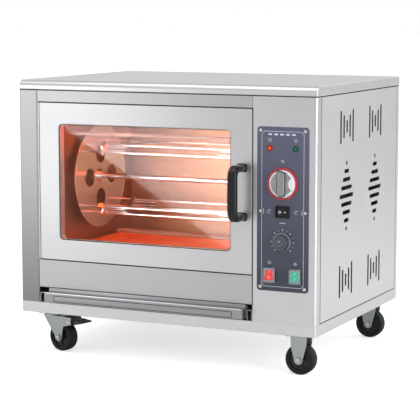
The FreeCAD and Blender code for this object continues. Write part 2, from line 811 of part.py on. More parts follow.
def make_heaters():
    """Tubular hairpins: a U-shaped sheath with a bushing and a terminal stud on each leg."""
    straight = chamber_right - chamber_left - d.heater_end_gap - d.heater_spacing / 2
    half = d.heater_spacing / 2
    tube_end = d.liner_sheet + 14
    sheath = new_body("heater_sheath")
    path = sketch_on(sheath, "XZ_Plane", 0)
    low = Vector(-straight.value, -half.value, 0)
    high = Vector(-straight.value, half.value, 0)
    end = tube_end.value
    path.addGeometry(Part.LineSegment(Vector(end, -half.value, 0), low), False)
    bend = Part.Circle(Vector(-straight.value, 0, 0), Vector(0, 0, 1), half.value)
    path.addGeometry(Part.ArcOfCircle(bend, math.pi / 2, 3 * math.pi / 2), False)
    path.addGeometry(Part.LineSegment(high, Vector(end, half.value, 0)), False)
    constrain(path, [
        ("Tangent", 0, 2, 1, 2), ("Tangent", 1, 1, 2, 1), ("Horizontal", 0), ("Horizontal", 2),
        held("DistanceX", 0, 1, tube_end), held("DistanceY", 0, 1, -half),
        held("DistanceX", 0, 2, -straight), held("DistanceX", 2, 2, tube_end),
        held("DistanceY", 2, 2, half)])
    profile = sketch_on(sheath, "YZ_Plane", tube_end)
    ring(profile, 0, -half, d.heater_radius)
    sweep = sheath.newObject("PartDesign::AdditivePipe", "heater_sheath_sweep")
    sweep.Profile = profile
    sweep.Spine = (path, [])
    pieces = [sheath]
    for side in (-0.5, 0.5):
        z = d.heater_spacing * side
        collar = rod(f"collar_{len(pieces)}", (-3, 0, z), 3, d.bushing_radius + 2.6, TOWARDS_X)
        sleeve = rod(f"sleeve_{len(pieces)}", (0, 0, z), d.liner_sheet + 8, d.bushing_radius, TOWARDS_X)
        stud = rod(f"stud_{len(pieces)}", (tube_end, 0, z), 9, d.heater_radius / 2, TOWARDS_X)
        pieces += [collar, sleeve, stud]
    hairpin = fused("heater_hairpin", pieces)
    copies = []
    for index, (y, z, turn) in enumerate(heater_places()):
        rotation = Rotation(Vector(1, 0, 0), turn)
        copies.append(copy_of(hairpin, f"heater_{index}", (chamber_right, y, z), rotation))
    node("heater_elements", group("heater_elements", copies))


def make_lamp():
    """Oven lamp on the right wall: a socket outside the chamber and a glass dome inside."""
    y, z = front + d.lamp_setback, base + d.lamp_level
    wall_outside = chamber_right + d.liner_sheet
    socket = fused("lamp_holder", [
        rod("lamp_socket", (wall_outside, y, z), 26, d.lamp_radius + 4, TOWARDS_X),
        rod("lamp_tail", (wall_outside + 26, y, z), 8, d.lamp_radius / 2, TOWARDS_X),
    ])
    node("lamp_holder", socket)
    r = d.lamp_radius
    dome = turned("lamp_glass", [(0, 0), (r, 0), (r, 10), (r * 0.96, 14), (r * 0.8, 18.5),
                                 (r * 0.5, 21.5), (0, 23)])
    place(dome, (wall_outside, y, z), Rotation(Vector(0, 1, 0), -90))
    node("lamp_glass", dome)


# ---- door --------------------------------------------------------------------------------------

hinge_x = stile_edge + d.hinge_radius
hinge_y = front - d.hinge_proud
door_left = hinge_x + d.hinge_radius
door_right = column_edge - d.door_gap
door_low = fascia_top + d.door_gap
door_high = header_bottom - d.door_gap
door_back = front + d.door_thickness
window = (door_left + d.window_side, door_right - d.window_side,
          door_low + d.window_low, door_high - d.window_low)


def grown(box, margin):
    """A rectangle grown outwards by a margin on all four sides."""
    return (box[0] - margin, box[1] + margin, box[2] - margin, box[3] + margin)


def make_door():
    door = (door_left, door_right, door_low, door_high)
    skin = new_body("door_panel")
    sketch = sketch_on(skin, "XZ_Plane", front)
    rectangle(sketch, *door)
    pad(skin, sketch, d.door_thickness)
    hollow = sketch_on(skin, "XZ_Plane", front + d.sheet)
    rectangle(hollow, *grown(door, -d.sheet))
    pocket(skin, hollow, d.door_thickness - d.sheet)
    opening = sketch_on(skin, "XZ_Plane", front)
    rectangle(opening, *window, d.window_radius)
    pocket(skin, opening, d.sheet)
    rounded_edges(skin, d.door_bend, [{"x": door_left, "y": front}, {"x": door_right, "y": front},
                                      {"z": door_low, "y": front}, {"z": door_high, "y": front}])
    node("door_panel", skin)

    glass_edge = grown(window, d.glass_overlap)
    gasket_front = front + d.sheet
    gasket = new_body("door_gasket")
    sketch = sketch_on(gasket, "XZ_Plane", gasket_front)
    rectangle(sketch, *glass_edge)
    pad(gasket, sketch, d.gasket_thickness)
    inner = sketch_on(gasket, "XZ_Plane", gasket_front)
    rectangle(inner, *grown(window, -d.gasket_lip), d.window_radius - d.gasket_lip)
    pocket(gasket, inner, d.gasket_thickness)
    node("door_gasket", gasket)

    glass_front = gasket_front + d.gasket_thickness
    glass_low = (glass_edge[0], glass_front, glass_edge[2])
    glass_high = (glass_edge[1], glass_front + d.glass_thickness, glass_edge[3])
    node("door_glass", block("door_glass", glass_low, glass_high))

    liner_front = glass_front + d.glass_thickness
    liner_edge = grown(door, -(d.sheet + d.fit_gap))
    wall = d.liner_sheet
    liner = new_body("door_liner")
    sketch = sketch_on(liner, "XZ_Plane", liner_front)
    rectangle(sketch, *liner_edge)
    pad(liner, sketch, door_back - liner_front)
    opening = sketch_on(liner, "XZ_Plane", liner_front)
    rectangle(opening, *window, d.window_radius)
    pocket(liner, opening, door_back - liner_front)
    channel = sketch_on(liner, "XZ_Plane", liner_front)
    rectangle(channel, *grown(liner_edge, -wall))
    rectangle(channel, *grown(window, wall), d.window_radius + wall)
    pocket(liner, channel, door_back - liner_front - wall)
    node("door_liner", liner)


def make_hinge():
    """Piano hinge: knuckles of the two leaves alternate along one pin."""
    pitch = (door_high - door_low) / KNUCKLES
    knuckle_length = pitch - d.knuckle_gap
    leaf_start = hinge_y + d.hinge_radius + 0.7
    leaf_end = front + 18
    for name, side, first, pin in (("hinge_cabinet_leaf", -1, 0, True),
                                   ("hinge_door_leaf", 1, 1, False)):
        leaf = new_body(name)
        outer = hinge_x + d.hinge_radius * side
        near, far = (outer, outer + d.hinge_leaf) if side < 0 else (outer - d.hinge_leaf, outer)
        plate = sketch_on(leaf, "XY_Plane", door_low)
        rectangle(plate, near, far, leaf_start, leaf_end)
        pad(leaf, plate, door_high - door_low)
        low = door_low + pitch * first + d.knuckle_gap / 2
        tab = sketch_on(leaf, "XY_Plane", low)
        rectangle(tab, near, far, hinge_y, leaf_start)
        tab_pad = pad(leaf, tab, knuckle_length)
        barrel = sketch_on(leaf, "XY_Plane", low)
        ring(barrel, hinge_x, hinge_y, d.hinge_radius)
        barrel_pad = pad(leaf, barrel, knuckle_length)
        count = (KNUCKLES + 1) // 2 if first == 0 else KNUCKLES // 2
        repeat(leaf, [tab_pad, barrel_pad], barrel, pitch * 2 * (count - 1), count)
        axis = sketch_on(leaf, "XY_Plane", door_low)
        if pin:
            ring(axis, hinge_x, hinge_y, d.hinge_pin_radius)
            pad(leaf, axis, door_high - door_low)
        else:
            ring(axis, hinge_x, hinge_y, d.hinge_pin_radius + d.running_gap)
            pocket(leaf, axis, door_high - door_low)
        node(name, leaf)


def make_handle():
    """Bow handle: one moulded bar bent out from the door and back."""
    x = door_right - d.handle_inset
    reach = d.handle_reach - d.handle_grip_depth / 2
    half = d.handle_spacing / 2
    elbow = d.handle_elbow
    body = new_body("door_handle")
    path = sketch_on(body, "YZ_Plane", x)
    middle = (base + d.handle_level).value
    face, far = front.value, (front - reach).value
    low, high, bend = middle - half.value, middle + half.value, elbow.value
    path.addGeometry(Part.LineSegment(Vector(face, low, 0), Vector(far + bend, low, 0)), False)
    lower = Part.Circle(Vector(far + bend, low + bend, 0), Vector(0, 0, 1), bend)
    path.addGeometry(Part.ArcOfCircle(lower, math.pi, 3 * math.pi / 2), False)
    path.addGeometry(Part.LineSegment(Vector(far, low + bend, 0), Vector(far, high - bend, 0)), False)
    upper = Part.Circle(Vector(far + bend, high - bend, 0), Vector(0, 0, 1), bend)
    path.addGeometry(Part.ArcOfCircle(upper, math.pi / 2, math.pi), False)
    path.addGeometry(Part.LineSegment(Vector(far + bend, high, 0), Vector(face, high, 0)), False)
    level = base + d.handle_level
    constrain(path, [
        ("Tangent", 0, 2, 1, 2), ("Tangent", 1, 1, 2, 1), ("Tangent", 2, 2, 3, 2),
        ("Tangent", 3, 1, 4, 1), ("Horizontal", 0), ("Vertical", 2), ("Horizontal", 4),
        ("Radius", 1, elbow), ("Radius", 3, elbow),
        held("DistanceX", 0, 1, front), held("DistanceY", 0, 1, level - half),
        held("DistanceX", 2, 1, front - reach),
        held("DistanceX", 4, 2, front), held("DistanceY", 4, 2, level + half)])
    profile = sketch_on(body, "XZ_Plane", front)
    half_width, half_depth = d.handle_grip_width / 2, d.handle_grip_depth / 2
    z = base + d.handle_level - half
    rectangle(profile, x - half_width, x + half_width, z - half_depth, z + half_depth, half_depth * 0.8)
    sweep = body.newObject("PartDesign::AdditivePipe", "door_handle_sweep")
    sweep.Profile = profile
    sweep.Spine = (path, [])
    node("door_handle", body)


def make_magnet_catch():
    """Magnet behind the door frame that holds the steel liner of the door."""
    middle = base + d.handle_level
    low = (chamber_right + d.liner_sheet, chamber_front, middle - 22)
    high = (column_edge + d.return_lip, chamber_front + 14, middle + 22)
    node("magnet_catch", block("magnet_catch", low, high))


# ---- drip tray ---------------------------------------------------------------------------------

def make_drip_tray():
    left, right = stile_edge + d.tray_left_gap, column_edge - d.tray_right_gap
    low = band_top + d.tray_lift
    rim_top = low + d.tray_height - 3
    wall = d.liner_sheet
    start, end = front - 1, front + d.tray_length
    tray = new_body("drip_tray")
    sketch = sketch_on(tray, "XY_Plane", low)
    rectangle(sketch, left, right, start, end)
    pad(tray, sketch, rim_top - low)
    rims = sketch_on(tray, "XY_Plane", rim_top - wall)
    rectangle(rims, left - d.tray_rim, right + d.tray_rim, front + 6, end)
    pad(tray, rims, wall)
    hollow = sketch_on(tray, "XY_Plane", low + wall)
    rectangle(hollow, left + wall, right - wall, start + wall, end - wall)
    pocket(tray, hollow, rim_top - low - wall)
    node("drip_tray", tray)

    face = new_body("tray_front")
    sketch = sketch_on(face, "YZ_Plane", left)
    near, high = front - d.tray_reach, low + d.tray_height
    outline(sketch, [(near, low, 1.5), (start, low), (start, high), (near, high, 3)])
    pad(face, sketch, right - left)
    hollow = sketch_on(face, "YZ_Plane", left + d.sheet)
    outline(hollow, [(near + d.sheet, low + d.sheet), (start, low + d.sheet),
                     (start, high - d.sheet), (near + d.sheet, high - d.sheet, 1.8)])
    pocket(face, hollow, right - left - d.sheet * 2)
    node("tray_front", face)

    shelf = rim_top - wall - d.fit_gap
    runner_start, runner_end = front + d.sheet + 1, back - d.sheet - 1
    runners = []
    for name, near_x, far_x in (
            ("left_runner", stile_edge + 1, left - d.tray_play),
            ("right_runner", right + d.tray_play, column_edge - 1)):
        path = [(near_x, band_top), (near_x, shelf), (far_x, shelf), (far_x, band_top)]
        runner = folded_sheet(name, "XZ_Plane", path, d.sheet, runner_start, runner_end - runner_start)
        runners.append(runner)
    node("tray_runners", group("tray_runners", runners))


# ---- carousel and drive ------------------------------------------------------------------------

disc_left = chamber_left + d.disc_inset
disc_right = chamber_right - d.disc_right_inset
wall_outside = chamber_right + d.liner_sheet
bush_end = wall_outside + d.bush_length
gear_start = bush_end + d.fit_gap * 2
hub_end = gear_start + d.gear_width + 4


def make_carousel():
    shaft_start = chamber_left + 5
    shaft = rod("carousel_shaft", (shaft_start, axis_y, axis_z), hub_end - shaft_start,
                d.shaft_radius, TOWARDS_X)
    node("carousel_shaft", shaft)

    plate = rod("disc_plate", (-d.disc_thickness / 2, 0, 0), d.disc_thickness, d.disc_radius, TOWARDS_X)
    hub = rod("disc_hub", (-d.hub_length / 2, 0, 0), d.hub_length, d.hub_radius, TOWARDS_X)
    cut_start = -d.hub_length
    cut_length = d.hub_length * 2
    holes = [rod("disc_bore", (cut_start, 0, 0), cut_length, d.shaft_radius + d.running_gap, TOWARDS_X)]
    lightening = (d.hub_radius + d.spit_circle - d.rod_spacing / 2) / 2
    for index in range(SPITS):
        turn = 2 * math.pi * index / SPITS
        spot = (cut_start, lightening * math.cos(turn), lightening * math.sin(turn))
        holes.append(rod(f"disc_window_{index}", spot, cut_length, d.hub_radius * 1.5, TOWARDS_X))
        turn += math.pi / SPITS
        for side in (-0.5, 0.5):
            across = d.rod_spacing * side
            y = d.spit_circle * math.cos(turn) - across * math.sin(turn)
            z = d.spit_circle * math.sin(turn) + across * math.cos(turn)
            name = f"rod_hole_{index}_{1 if side > 0 else 0}"
            holes.append(rod(name, (cut_start, y, z), cut_length, d.rod_radius + d.fit_gap / 2, TOWARDS_X))
    disc = less("carousel_disc", fused("disc_blank", [plate, hub]), holes)
    discs = [copy_of(disc, "left_disc", (disc_left, axis_y, axis_z)),
             copy_of(disc, "right_disc", (disc_right, axis_y, axis_z))]
    node("carousel_discs", group("carousel_discs", discs))

    handle = disc_left - 11
    tip = disc_right + 7
    pieces = [block("spit_handle", (handle - 3, d.spit_circle - 4, -d.rod_spacing / 2 - 4),
                    (handle, d.spit_circle + 4, d.rod_spacing / 2 + 4))]
    for side in (-0.5, 0.5):
        z = d.rod_spacing * side
        pieces.append(rod(f"spit_rod_{len(pieces)}", (handle, d.spit_circle, z), tip - handle,
                          d.rod_radius, TOWARDS_X))
        pieces.append(taper(f"spit_tip_{len(pieces)}", (tip, d.spit_circle, z), 8, d.rod_radius, 0.4,
                            TOWARDS_X))
    spit = fused("spit", pieces)
    spits = []
    for index in range(SPITS):
        turn = Rotation(Vector(1, 0, 0), 360 * (index + 0.5) / SPITS)
        spits.append(copy_of(spit, f"spit_{index}", (0, axis_y, axis_z), turn))
    node("spits", group("spits", spits))


def make_meat_forks():
    """Two-pronged forks that slide on a spit and are clamped by a thumbscrew."""
    half = d.rod_spacing / 2
    crossbar = block("fork_crossbar", (0, d.spit_circle - 5, -half - 6), (10, d.spit_circle + 5, half + 6))
    pieces = [crossbar, rod("fork_thumbscrew", (5, d.spit_circle + 5, 0), 7, 4, TOWARDS_BACK)]
    for side in (-0.5, 0.5):
        z = d.rod_spacing * side * 0.42
        prong = rod(f"prong_{len(pieces)}", (10, d.spit_circle, z), d.prong_length, 1.6, TOWARDS_X)
        point = taper(f"prong_tip_{len(pieces)}", (10 + d.prong_length, d.spit_circle, z), 8, 1.6, 0.3,
                      TOWARDS_X)
        pieces += [prong, point]
    holes = []
    for side in (-0.5, 0.5):
        start = (-1, d.spit_circle, d.rod_spacing * side)
        holes.append(rod(f"fork_hole_{len(holes)}", start, 12, d.rod_radius + d.fit_gap / 3, TOWARDS_X))
    fork = less("meat_fork", fused("meat_fork_blank", pieces), holes)
    forks = []
    for index in range(SPITS):
        turn = Rotation(Vector(1, 0, 0), 360 * (index + 0.5) / SPITS)
        facing_left = turn.multiply(Rotation(Vector(0, 1, 0), 180))
        left_spot = (disc_left + d.fork_inset, axis_y, axis_z)
        right_spot = (disc_right - d.fork_inset, axis_y, axis_z)
        forks.append(copy_of(fork, f"left_fork_{index}", left_spot, turn))
        forks.append(copy_of(fork, f"right_fork_{index}", right_spot, facing_left))
    node("meat_forks", group("meat_forks", forks))


def make_bearings():
    bore = d.shaft_radius + d.running_gap
    cup_end = disc_left - d.hub_length / 2 - 4
    left_bush = less("left_bush", fused("left_bush_blank", [
        rod("left_bush_barrel", (chamber_left, axis_y, axis_z), cup_end - chamber_left,
            d.bush_radius, TOWARDS_X),
        rod("left_bush_flange", (chamber_left, axis_y, axis_z), 3, d.bush_radius + 8, TOWARDS_X),
    ]), [rod("left_bush_bore", (chamber_left + 4, axis_y, axis_z), cup_end - chamber_left, bore, TOWARDS_X)])
    right_bush = less("right_bush", fused("right_bush_blank", [
        rod("right_bush_barrel", (chamber_right, axis_y, axis_z), bush_end - chamber_right,
            d.bush_radius, TOWARDS_X),
        rod("right_bush_flange", (chamber_right - 3, axis_y, axis_z), 3, d.bush_radius + 6, TOWARDS_X),
    ]), [rod("right_bush_bore", (chamber_right - 5, axis_y, axis_z), d.bush_length + 12, bore, TOWARDS_X)])
    node("shaft_bearings", group("shaft_bearings", [left_bush, right_bush]))


def tooth_outline(teeth):
    """Corners of one tooth about +Y in units of the module, with involute flanks and backlash."""
    pitch_radius = teeth / 2
    base_radius = pitch_radius * math.cos(math.radians(20))
    involute = math.tan(math.radians(20)) - math.radians(20)
    backlash = 0.06 / pitch_radius
    root = pitch_radius - 1.25
    radii = [max(root, base_radius), pitch_radius - 0.4, pitch_radius + 0.3, pitch_radius + 0.95]
    flank = [(root - 0.3, None)]
    for radius in radii:
        angle = math.acos(min(1, base_radius / radius))
        half = math.pi / (2 * teeth) + involute - (math.tan(angle) - angle) - backlash
        flank.append((radius, half))
    flank[0] = (root - 0.3, flank[1][1])
    right = [(radius * math.sin(half), radius * math.cos(half)) for radius, half in flank]
    left = [(-x, y) for x, y in reversed(right)]
    return right + left


def make_gear(name, teeth, bore, hub_length):
    """A spur gear about its own Z axis, with one tooth on +Y and a hub on its far face."""
    body = new_body(name)
    disc = sketch_on(body, "XY_Plane", 0)
    ring(disc, 0, 0, d.gear_module * (teeth / 2 - 1.25))
    pad(body, disc, d.gear_width)
    tooth = sketch_on(body, "XY_Plane", 0)
    polygon(tooth, [(d.gear_module * x, d.gear_module * y) for x, y in tooth_outline(teeth)])
    tooth_pad = pad(body, tooth, d.gear_width)
    pattern = body.newObject("PartDesign::PolarPattern", f"{name}_teeth")
    pattern.Originals = [tooth_pad]
    pattern.Axis = (disc, ["N_Axis"])
    pattern.Angle = 360
    pattern.Occurrences = teeth
    body.Tip = pattern
    hub = sketch_on(body, "XY_Plane", d.gear_width)
    ring(hub, 0, 0, bore + 5)
    pad(body, hub, hub_length)
    hole = sketch_on(body, "XY_Plane", 0)
    ring(hole, 0, 0, bore)
    pocket(body, hole, d.gear_width + hub_length)
    return body


def make_drive():
    gear = make_gear("drive_gear", GEAR_TEETH, d.shaft_radius + d.running_gap, 4)
    node("drive_gear", place(gear, (gear_start, axis_y, axis_z), TOWARDS_X))

    pinion_y = axis_y + d.gear_module * (GEAR_TEETH + PINION_TEETH) / 2
    half_pitch = Rotation(Vector(0, 0, 1), 180 / PINION_TEETH)
    pinion = make_gear("pinion_gear", PINION_TEETH, d.motor_shaft_radius, 2)
    place(pinion, (gear_start, pinion_y, axis_z), TOWARDS_X.multiply(half_pitch))
    plate_start = wall_outside + d.bracket_reach
    gearbox_start = plate_start + d.bracket_sheet
    output = rod("motor_output", (gear_start, pinion_y, axis_z), gearbox_start + 10 - gear_start,
                 d.motor_shaft_radius, TOWARDS_X)
    node("motor_pinion", fused("motor_pinion", [pinion, output]))

    nose = d.motor_shaft_radius + 4
    can_start = gearbox_start + 24
    motor = less("motor", fused("motor_blank", [
        rod("motor_nose", (plate_start, pinion_y, axis_z), d.bracket_sheet, nose, TOWARDS_X),
        rod("motor_gearbox", (gearbox_start, pinion_y, axis_z), 24, d.motor_radius, TOWARDS_X),
        rod("motor_can", (can_start, pinion_y, axis_z), 32, d.motor_can_radius, TOWARDS_X),
        rod("motor_tail", (can_start + 32, pinion_y, axis_z), 4, 8, TOWARDS_X),
    ]), [rod("motor_bore", (plate_start - 1, pinion_y, axis_z), 15 + d.bracket_sheet,
             d.motor_shaft_radius + d.running_gap, TOWARDS_X)])
    reach = d.gear_module * GEAR_TEETH / 2 + 12
    foot = 14
    path = [(wall_outside, axis_z - reach - foot), (wall_outside, axis_z - reach),
            (plate_start, axis_z - reach), (plate_start, axis_z + reach),
            (wall_outside, axis_z + reach), (wall_outside, axis_z + reach + foot)]
    bracket = folded_sheet("motor_bracket", "XZ_Plane", path, d.bracket_sheet,
                           pinion_y - d.motor_radius - 2, d.motor_radius * 2 + 4)
    hole = sketch_on(bracket, "YZ_Plane", plate_start)
    ring(hole, pinion_y, axis_z, nose + d.fit_gap / 2)
    pocket(bracket, hole, d.bracket_sheet)
    node("gear_motor", group("gear_motor", [motor, bracket]))


# ---- controls ----------------------------------------------------------------------------------

overlay_right = right_side - d.overlay_inset
overlay_left = overlay_right - d.overlay_width


def make_overlay():
    body = new_body("control_overlay")
    low = base + d.overlay_low
    sketch = sketch_on(body, "XZ_Plane", overlay_front)
    rectangle(sketch, overlay_left, overlay_right, low, low + d.overlay_height, d.overlay_radius)
    pad(body, sketch, d.overlay_thickness)
    holes = sketch_on(body, "XZ_Plane", overlay_front)
    cut_control_holes(holes)
    pocket(body, holes, d.overlay_thickness)
    node("control_overlay", body)


def make_control_bodies():
    """Thermostat and timer bodies behind the column, with bores for the knobs' spindles."""
    inside = front + d.sheet
    for name, level, half, deep in (("thermostat_body", d.thermostat_level, 22, 34),
                                    ("timer_body", d.timer_level, 24, 44)):
        z = base + level
        case = block(f"{name}_case", (control_x - half, inside, z - half),
                     (control_x + half, inside + deep, z + half))
        tail = block(f"{name}_terminals", (control_x - half + 8, inside + deep, z - half + 8),
                     (control_x + half - 8, inside + deep + 8, z - half + 20))
        bore = rod(f"{name}_bore", (control_x, inside - 1, z), 19,
                   d.spindle_radius + d.running_gap, TOWARDS_BACK)
        node(name, less(name, fused(f"{name}_blank", [case, tail]), [bore]))


def make_knobs():
    """Knobs with their spindles, drawn about their own Z axis, which points out of the panel."""
    spindle_end = -(d.overlay_thickness + d.knob_gap + d.sheet + 16)
    sp = d.spindle_radius
    r = d.dial_radius
    dial = turned("thermostat_knob", [
        (0, spindle_end), (sp, spindle_end), (sp, 0), (r, 0), (r, 2.6), (r - 1.4, 4), (r * 0.78, 4),
        (r * 0.76, 6.5), (r * 0.70, 7.5), (0, 7.5)])
    grip = sketch_on(dial, "XY_Plane", 7)
    rectangle(grip, -7.5, 7.5, -(r * 0.66), r * 0.66, 5)
    pad(dial, grip, 15)
    place(dial, (control_x, overlay_front - d.knob_gap, base + d.thermostat_level), TOWARDS_FRONT)
    node("thermostat_knob", dial)

    r = d.timer_radius
    knob = turned("timer_knob", [
        (0, spindle_end), (sp, spindle_end), (sp, 0), (r, 0), (r, 3), (r - 1.2, 4.2), (r * 0.74, 5),
        (r * 0.70, 17), (r * 0.62, 19), (0, 19)])
    pointer = sketch_on(knob, "XY_Plane", 18)
    rectangle(pointer, -2.5, 2.5, -(r * 0.6), r * 0.6, 1.5)
    pad(knob, pointer, 3.5)
    place(knob, (control_x, overlay_front - d.knob_gap, base + d.timer_level), TOWARDS_FRONT)
    node("timer_knob", knob)


def make_indicators():
    r = d.indicator_radius
    stem = indicator_hole - d.fit_gap / 2
    lamp = turned("indicator", [(0, -20), (stem, -20), (stem, 0), (r, 0), (r, 1.6), (r - 1.2, 2.2),
                                (r - 1.8, 4), (r - 3.6, 5.6), (0, 6.2)])
    for name, side in (("red_indicator", -1), ("green_indicator", 1)):
        spot = (control_x + d.control_pair * side, overlay_front, base + d.indicator_level)
        node(name, group(name, [copy_of(lamp, f"{name}_lamp", spot, TOWARDS_FRONT)]))


def make_rockers():
    """Housings with bezels, and rockers that tip on side pins; all drawn upright about their pivot."""
    wall = d.housing_wall
    half_width, half_height = d.bezel_width / 2, d.bezel_height / 2
    body_width, body_height = half_width - d.housing_margin, half_height - d.housing_margin
    housing = new_body("rocker_housing")
    sketch = sketch_on(housing, "XZ_Plane", -d.bezel_thickness)
    rectangle(sketch, -half_width, half_width, -half_height, half_height, 1.5)
    pad(housing, sketch, d.bezel_thickness)
    sketch = sketch_on(housing, "XZ_Plane", 0)
    rectangle(sketch, -body_width, body_width, -body_height, body_height)
    pad(housing, sketch, 22)
    mouth = sketch_on(housing, "XZ_Plane", -d.bezel_thickness)
    inner_width, inner_height = body_width - wall, body_height - wall
    rectangle(mouth, -inner_width, inner_width, -inner_height, inner_height)
    pocket(housing, mouth, d.bezel_thickness + 14)
    pivot = 3
    pins = sketch_on(housing, "YZ_Plane", -body_width)
    ring(pins, pivot, 0, d.rocker_pin + d.running_gap)
    pocket(housing, pins, body_width * 2)

    rocker = new_body("rocker")
    side_gap = d.fit_gap
    rocker_width = inner_width - side_gap
    reach = inner_height - 0.8
    proud = d.bezel_thickness + pivot
    sketch = sketch_on(rocker, "YZ_Plane", -rocker_width)
    crest = reach - 1
    polygon(sketch, [(-proud - 2.2, -crest), (1, -reach), (4.5, -reach / 2), (4.5, reach / 2),
                     (1, reach), (-proud - 2.2, crest), (-proud, 0)])
    pad(rocker, sketch, rocker_width * 2)
    pin = sketch_on(rocker, "YZ_Plane", -(inner_width + wall * 0.7))
    ring(pin, 0, 0, d.rocker_pin)
    pad(rocker, pin, (inner_width + wall * 0.7) * 2)

    housings = []
    names = ("red_rocker", "green_rocker", "black_rocker")
    for name, (x, level, width, height) in zip(names, rocker_places()):
        roll = Rotation(Vector(0, 1, 0), 90 if name == "black_rocker" else 0)
        spot = (x, overlay_front, base + level)
        housings.append(copy_of(housing, f"{name}_housing", spot, roll))
        tilt = roll.multiply(Rotation(Vector(1, 0, 0), -ROCKER_TILT))
        pivot_spot = (x, overlay_front + pivot, base + level)
        node(name, group(name, [copy_of(rocker, f"{name}_moulding", pivot_spot, tilt)]))
    node("switch_housings", group("switch_housings", housings))


def make_terminal_block():
    inside = back - d.sheet
    x = right_side - d.gland_inset
    z = base + d.gland_level + 45
    pieces = [block("terminal_base", (x - 38, inside - 16, z - 12), (x + 38, inside, z + 12))]
    for index in range(5):
        low = x - 34 + 14 * index
        pieces.append(block(f"terminal_{index}", (low, inside - 24, z - 9), (low + 11, inside - 16, z + 9)))
    node("terminal_block", fused("terminal_block", pieces))


def make_cable_gland():
    """Gland in the back panel: dome nut outside, lock nut inside, bore right through."""
    b = d.gland_bore
    barrel = b * 2
    length = d.gland_reach
    gland = turned("cable_gland", [
        (b, -d.sheet - 10), (barrel, -d.sheet - 10), (barrel, -d.sheet - 6), (b + 9, -d.sheet - 6),
        (b + 9, -d.sheet), (barrel, -d.sheet), (barrel, 0), (b + 10, 0), (b + 10, 4), (b + 7, 4.5),
        (b + 7, length - 5), (b + 4, length), (b, length)])
    spot = (right_side - d.gland_inset, back, base + d.gland_level)
    node("cable_gland", place(gland, spot, TOWARDS_BACK))


# ---- casters -----------------------------------------------------------------------------------

plate_under = base - d.plate_thickness
fork_top = plate_under - d.race_height - d.fit_gap
fork_outside = d.fork_gap / 2 + d.fork_sheet
pedal_level = fork_top - 11


def make_legs(body, corners, trail, holes):
    """Both legs of a fork: a flat outline and a round end at the axle."""
    for start in (-fork_outside, d.fork_gap / 2):
        sketch = sketch_on(body, "XZ_Plane", start)
        polygon(sketch, corners)
        pad(body, sketch, d.fork_sheet)
        end = sketch_on(body, "XZ_Plane", start)
        ring(end, trail, d.wheel_radius, d.leg_end_radius)
        pad(body, end, d.fork_sheet)
    sketch = sketch_on(body, "XZ_Plane", -fork_outside)
    for x, z, radius in holes:
        ring(sketch, x, z, radius)
    return sketch


def make_axle():
    """Axle bolt with its head and nut, about its own Z axis, centred on the wheel."""
    r = d.axle_radius
    half = fork_outside
    return turned("axle_bolt", [(0, -half - 4), (r + 2.6, -half - 4), (r + 2.6, -half), (r, -half),
                                (r, half), (r + 2.8, half), (r + 2.8, half + 4.5), (r, half + 5),
                                (0, half + 5)])


def make_swivel_fork():
    """Fork about its swivel axis, the floor at zero, the wheel trailing towards +X."""
    body = new_body("swivel_fork")
    trail = d.caster_trail
    end = d.leg_end_radius
    arm = d.pedal_arm
    corners = [
        (-18, fork_top),
        (trail + arm + 8, fork_top),
        (trail + arm + 8, fork_top - 16),
        (trail + end + 5, fork_top - 22),
        (trail + end, d.wheel_radius),
        (trail - end, d.wheel_radius),
    ]
    holes = [(trail, d.wheel_radius, d.axle_radius + d.running_gap),
             (trail + arm, pedal_level, 3 + d.running_gap)]
    sketch = make_legs(body, corners, trail, holes)
    bridge = sketch_on(body, "XY_Plane", fork_top - d.fork_sheet)
    rectangle(bridge, -18, 21, -fork_outside, fork_outside)
    pad(body, bridge, d.fork_sheet)
    pocket(body, sketch, fork_outside * 2)
    hole = sketch_on(body, "XY_Plane", fork_top - d.fork_sheet)
    ring(hole, 0, 0, d.axle_radius + d.running_gap)
    pocket(body, hole, d.fork_sheet)
    return body


def make_rigid_fork():
    body = new_body("rigid_fork")
    end = d.leg_end_radius
    corners = [(-18, plate_under), (18, plate_under), (17, plate_under - 22), (end, d.wheel_radius),
               (-end, d.wheel_radius), (-17, plate_under - 22)]
    sketch = make_legs(body, corners, 0, [(0, d.wheel_radius, d.axle_radius + d.running_gap)])
    bridge = sketch_on(body, "XY_Plane", plate_under - d.fork_sheet)
    rectangle(bridge, -18, 18, -fork_outside, fork_outside)
    pad(body, bridge, d.fork_sheet)
    pocket(body, sketch, fork_outside * 2)
    return body


def make_pedal():
    """Brake pedal about the swivel axis frame: a plate over the wheel on two side pins."""
    body = new_body("brake_pedal")
    trail, arm, reach = d.caster_trail, d.pedal_arm, d.pedal_reach
    half = d.fork_gap / 2 - 2
    top = fork_top - 3.5
    sketch = sketch_on(body, "XZ_Plane", -half)
    polygon(sketch, [
        (trail - 2, top - 5), (trail - 2, top), (trail + arm + 20, top),
        (trail + reach, top - 3), (trail + reach, top - 6), (trail + arm + 12, top - 13),
        (trail + arm - 6, top - 14), (trail + arm - 10, top - 6)])
    pad(body, sketch, half * 2)
    pins = sketch_on(body, "XZ_Plane", -fork_outside)
    ring(pins, trail + arm, pedal_level, 3)
    pad(body, pins, fork_outside * 2)
    tread = sketch_on(body, "XZ_Plane", -(half + 4))
    polygon(tread, [(trail + arm + 16, top - 9), (trail + arm + 16, top - 0.5),
                    (trail + reach, top - 3), (trail + reach, top - 6)])
    pad(body, tread, (half + 4) * 2)
    return body


def make_wheel():
    half = d.wheel_width / 2
    r = d.wheel_radius
    bore = d.axle_radius + d.running_gap
    side = [(bore, half), (12, half), (13, half - 3), (r - 9, half - 3), (r - 7, half),
            (r - 2.5, half), (r - 0.8, half - 1.6), (r, half - 4)]
    return turned("caster_wheel", [(radius, -height) for radius, height in side] + side[::-1])


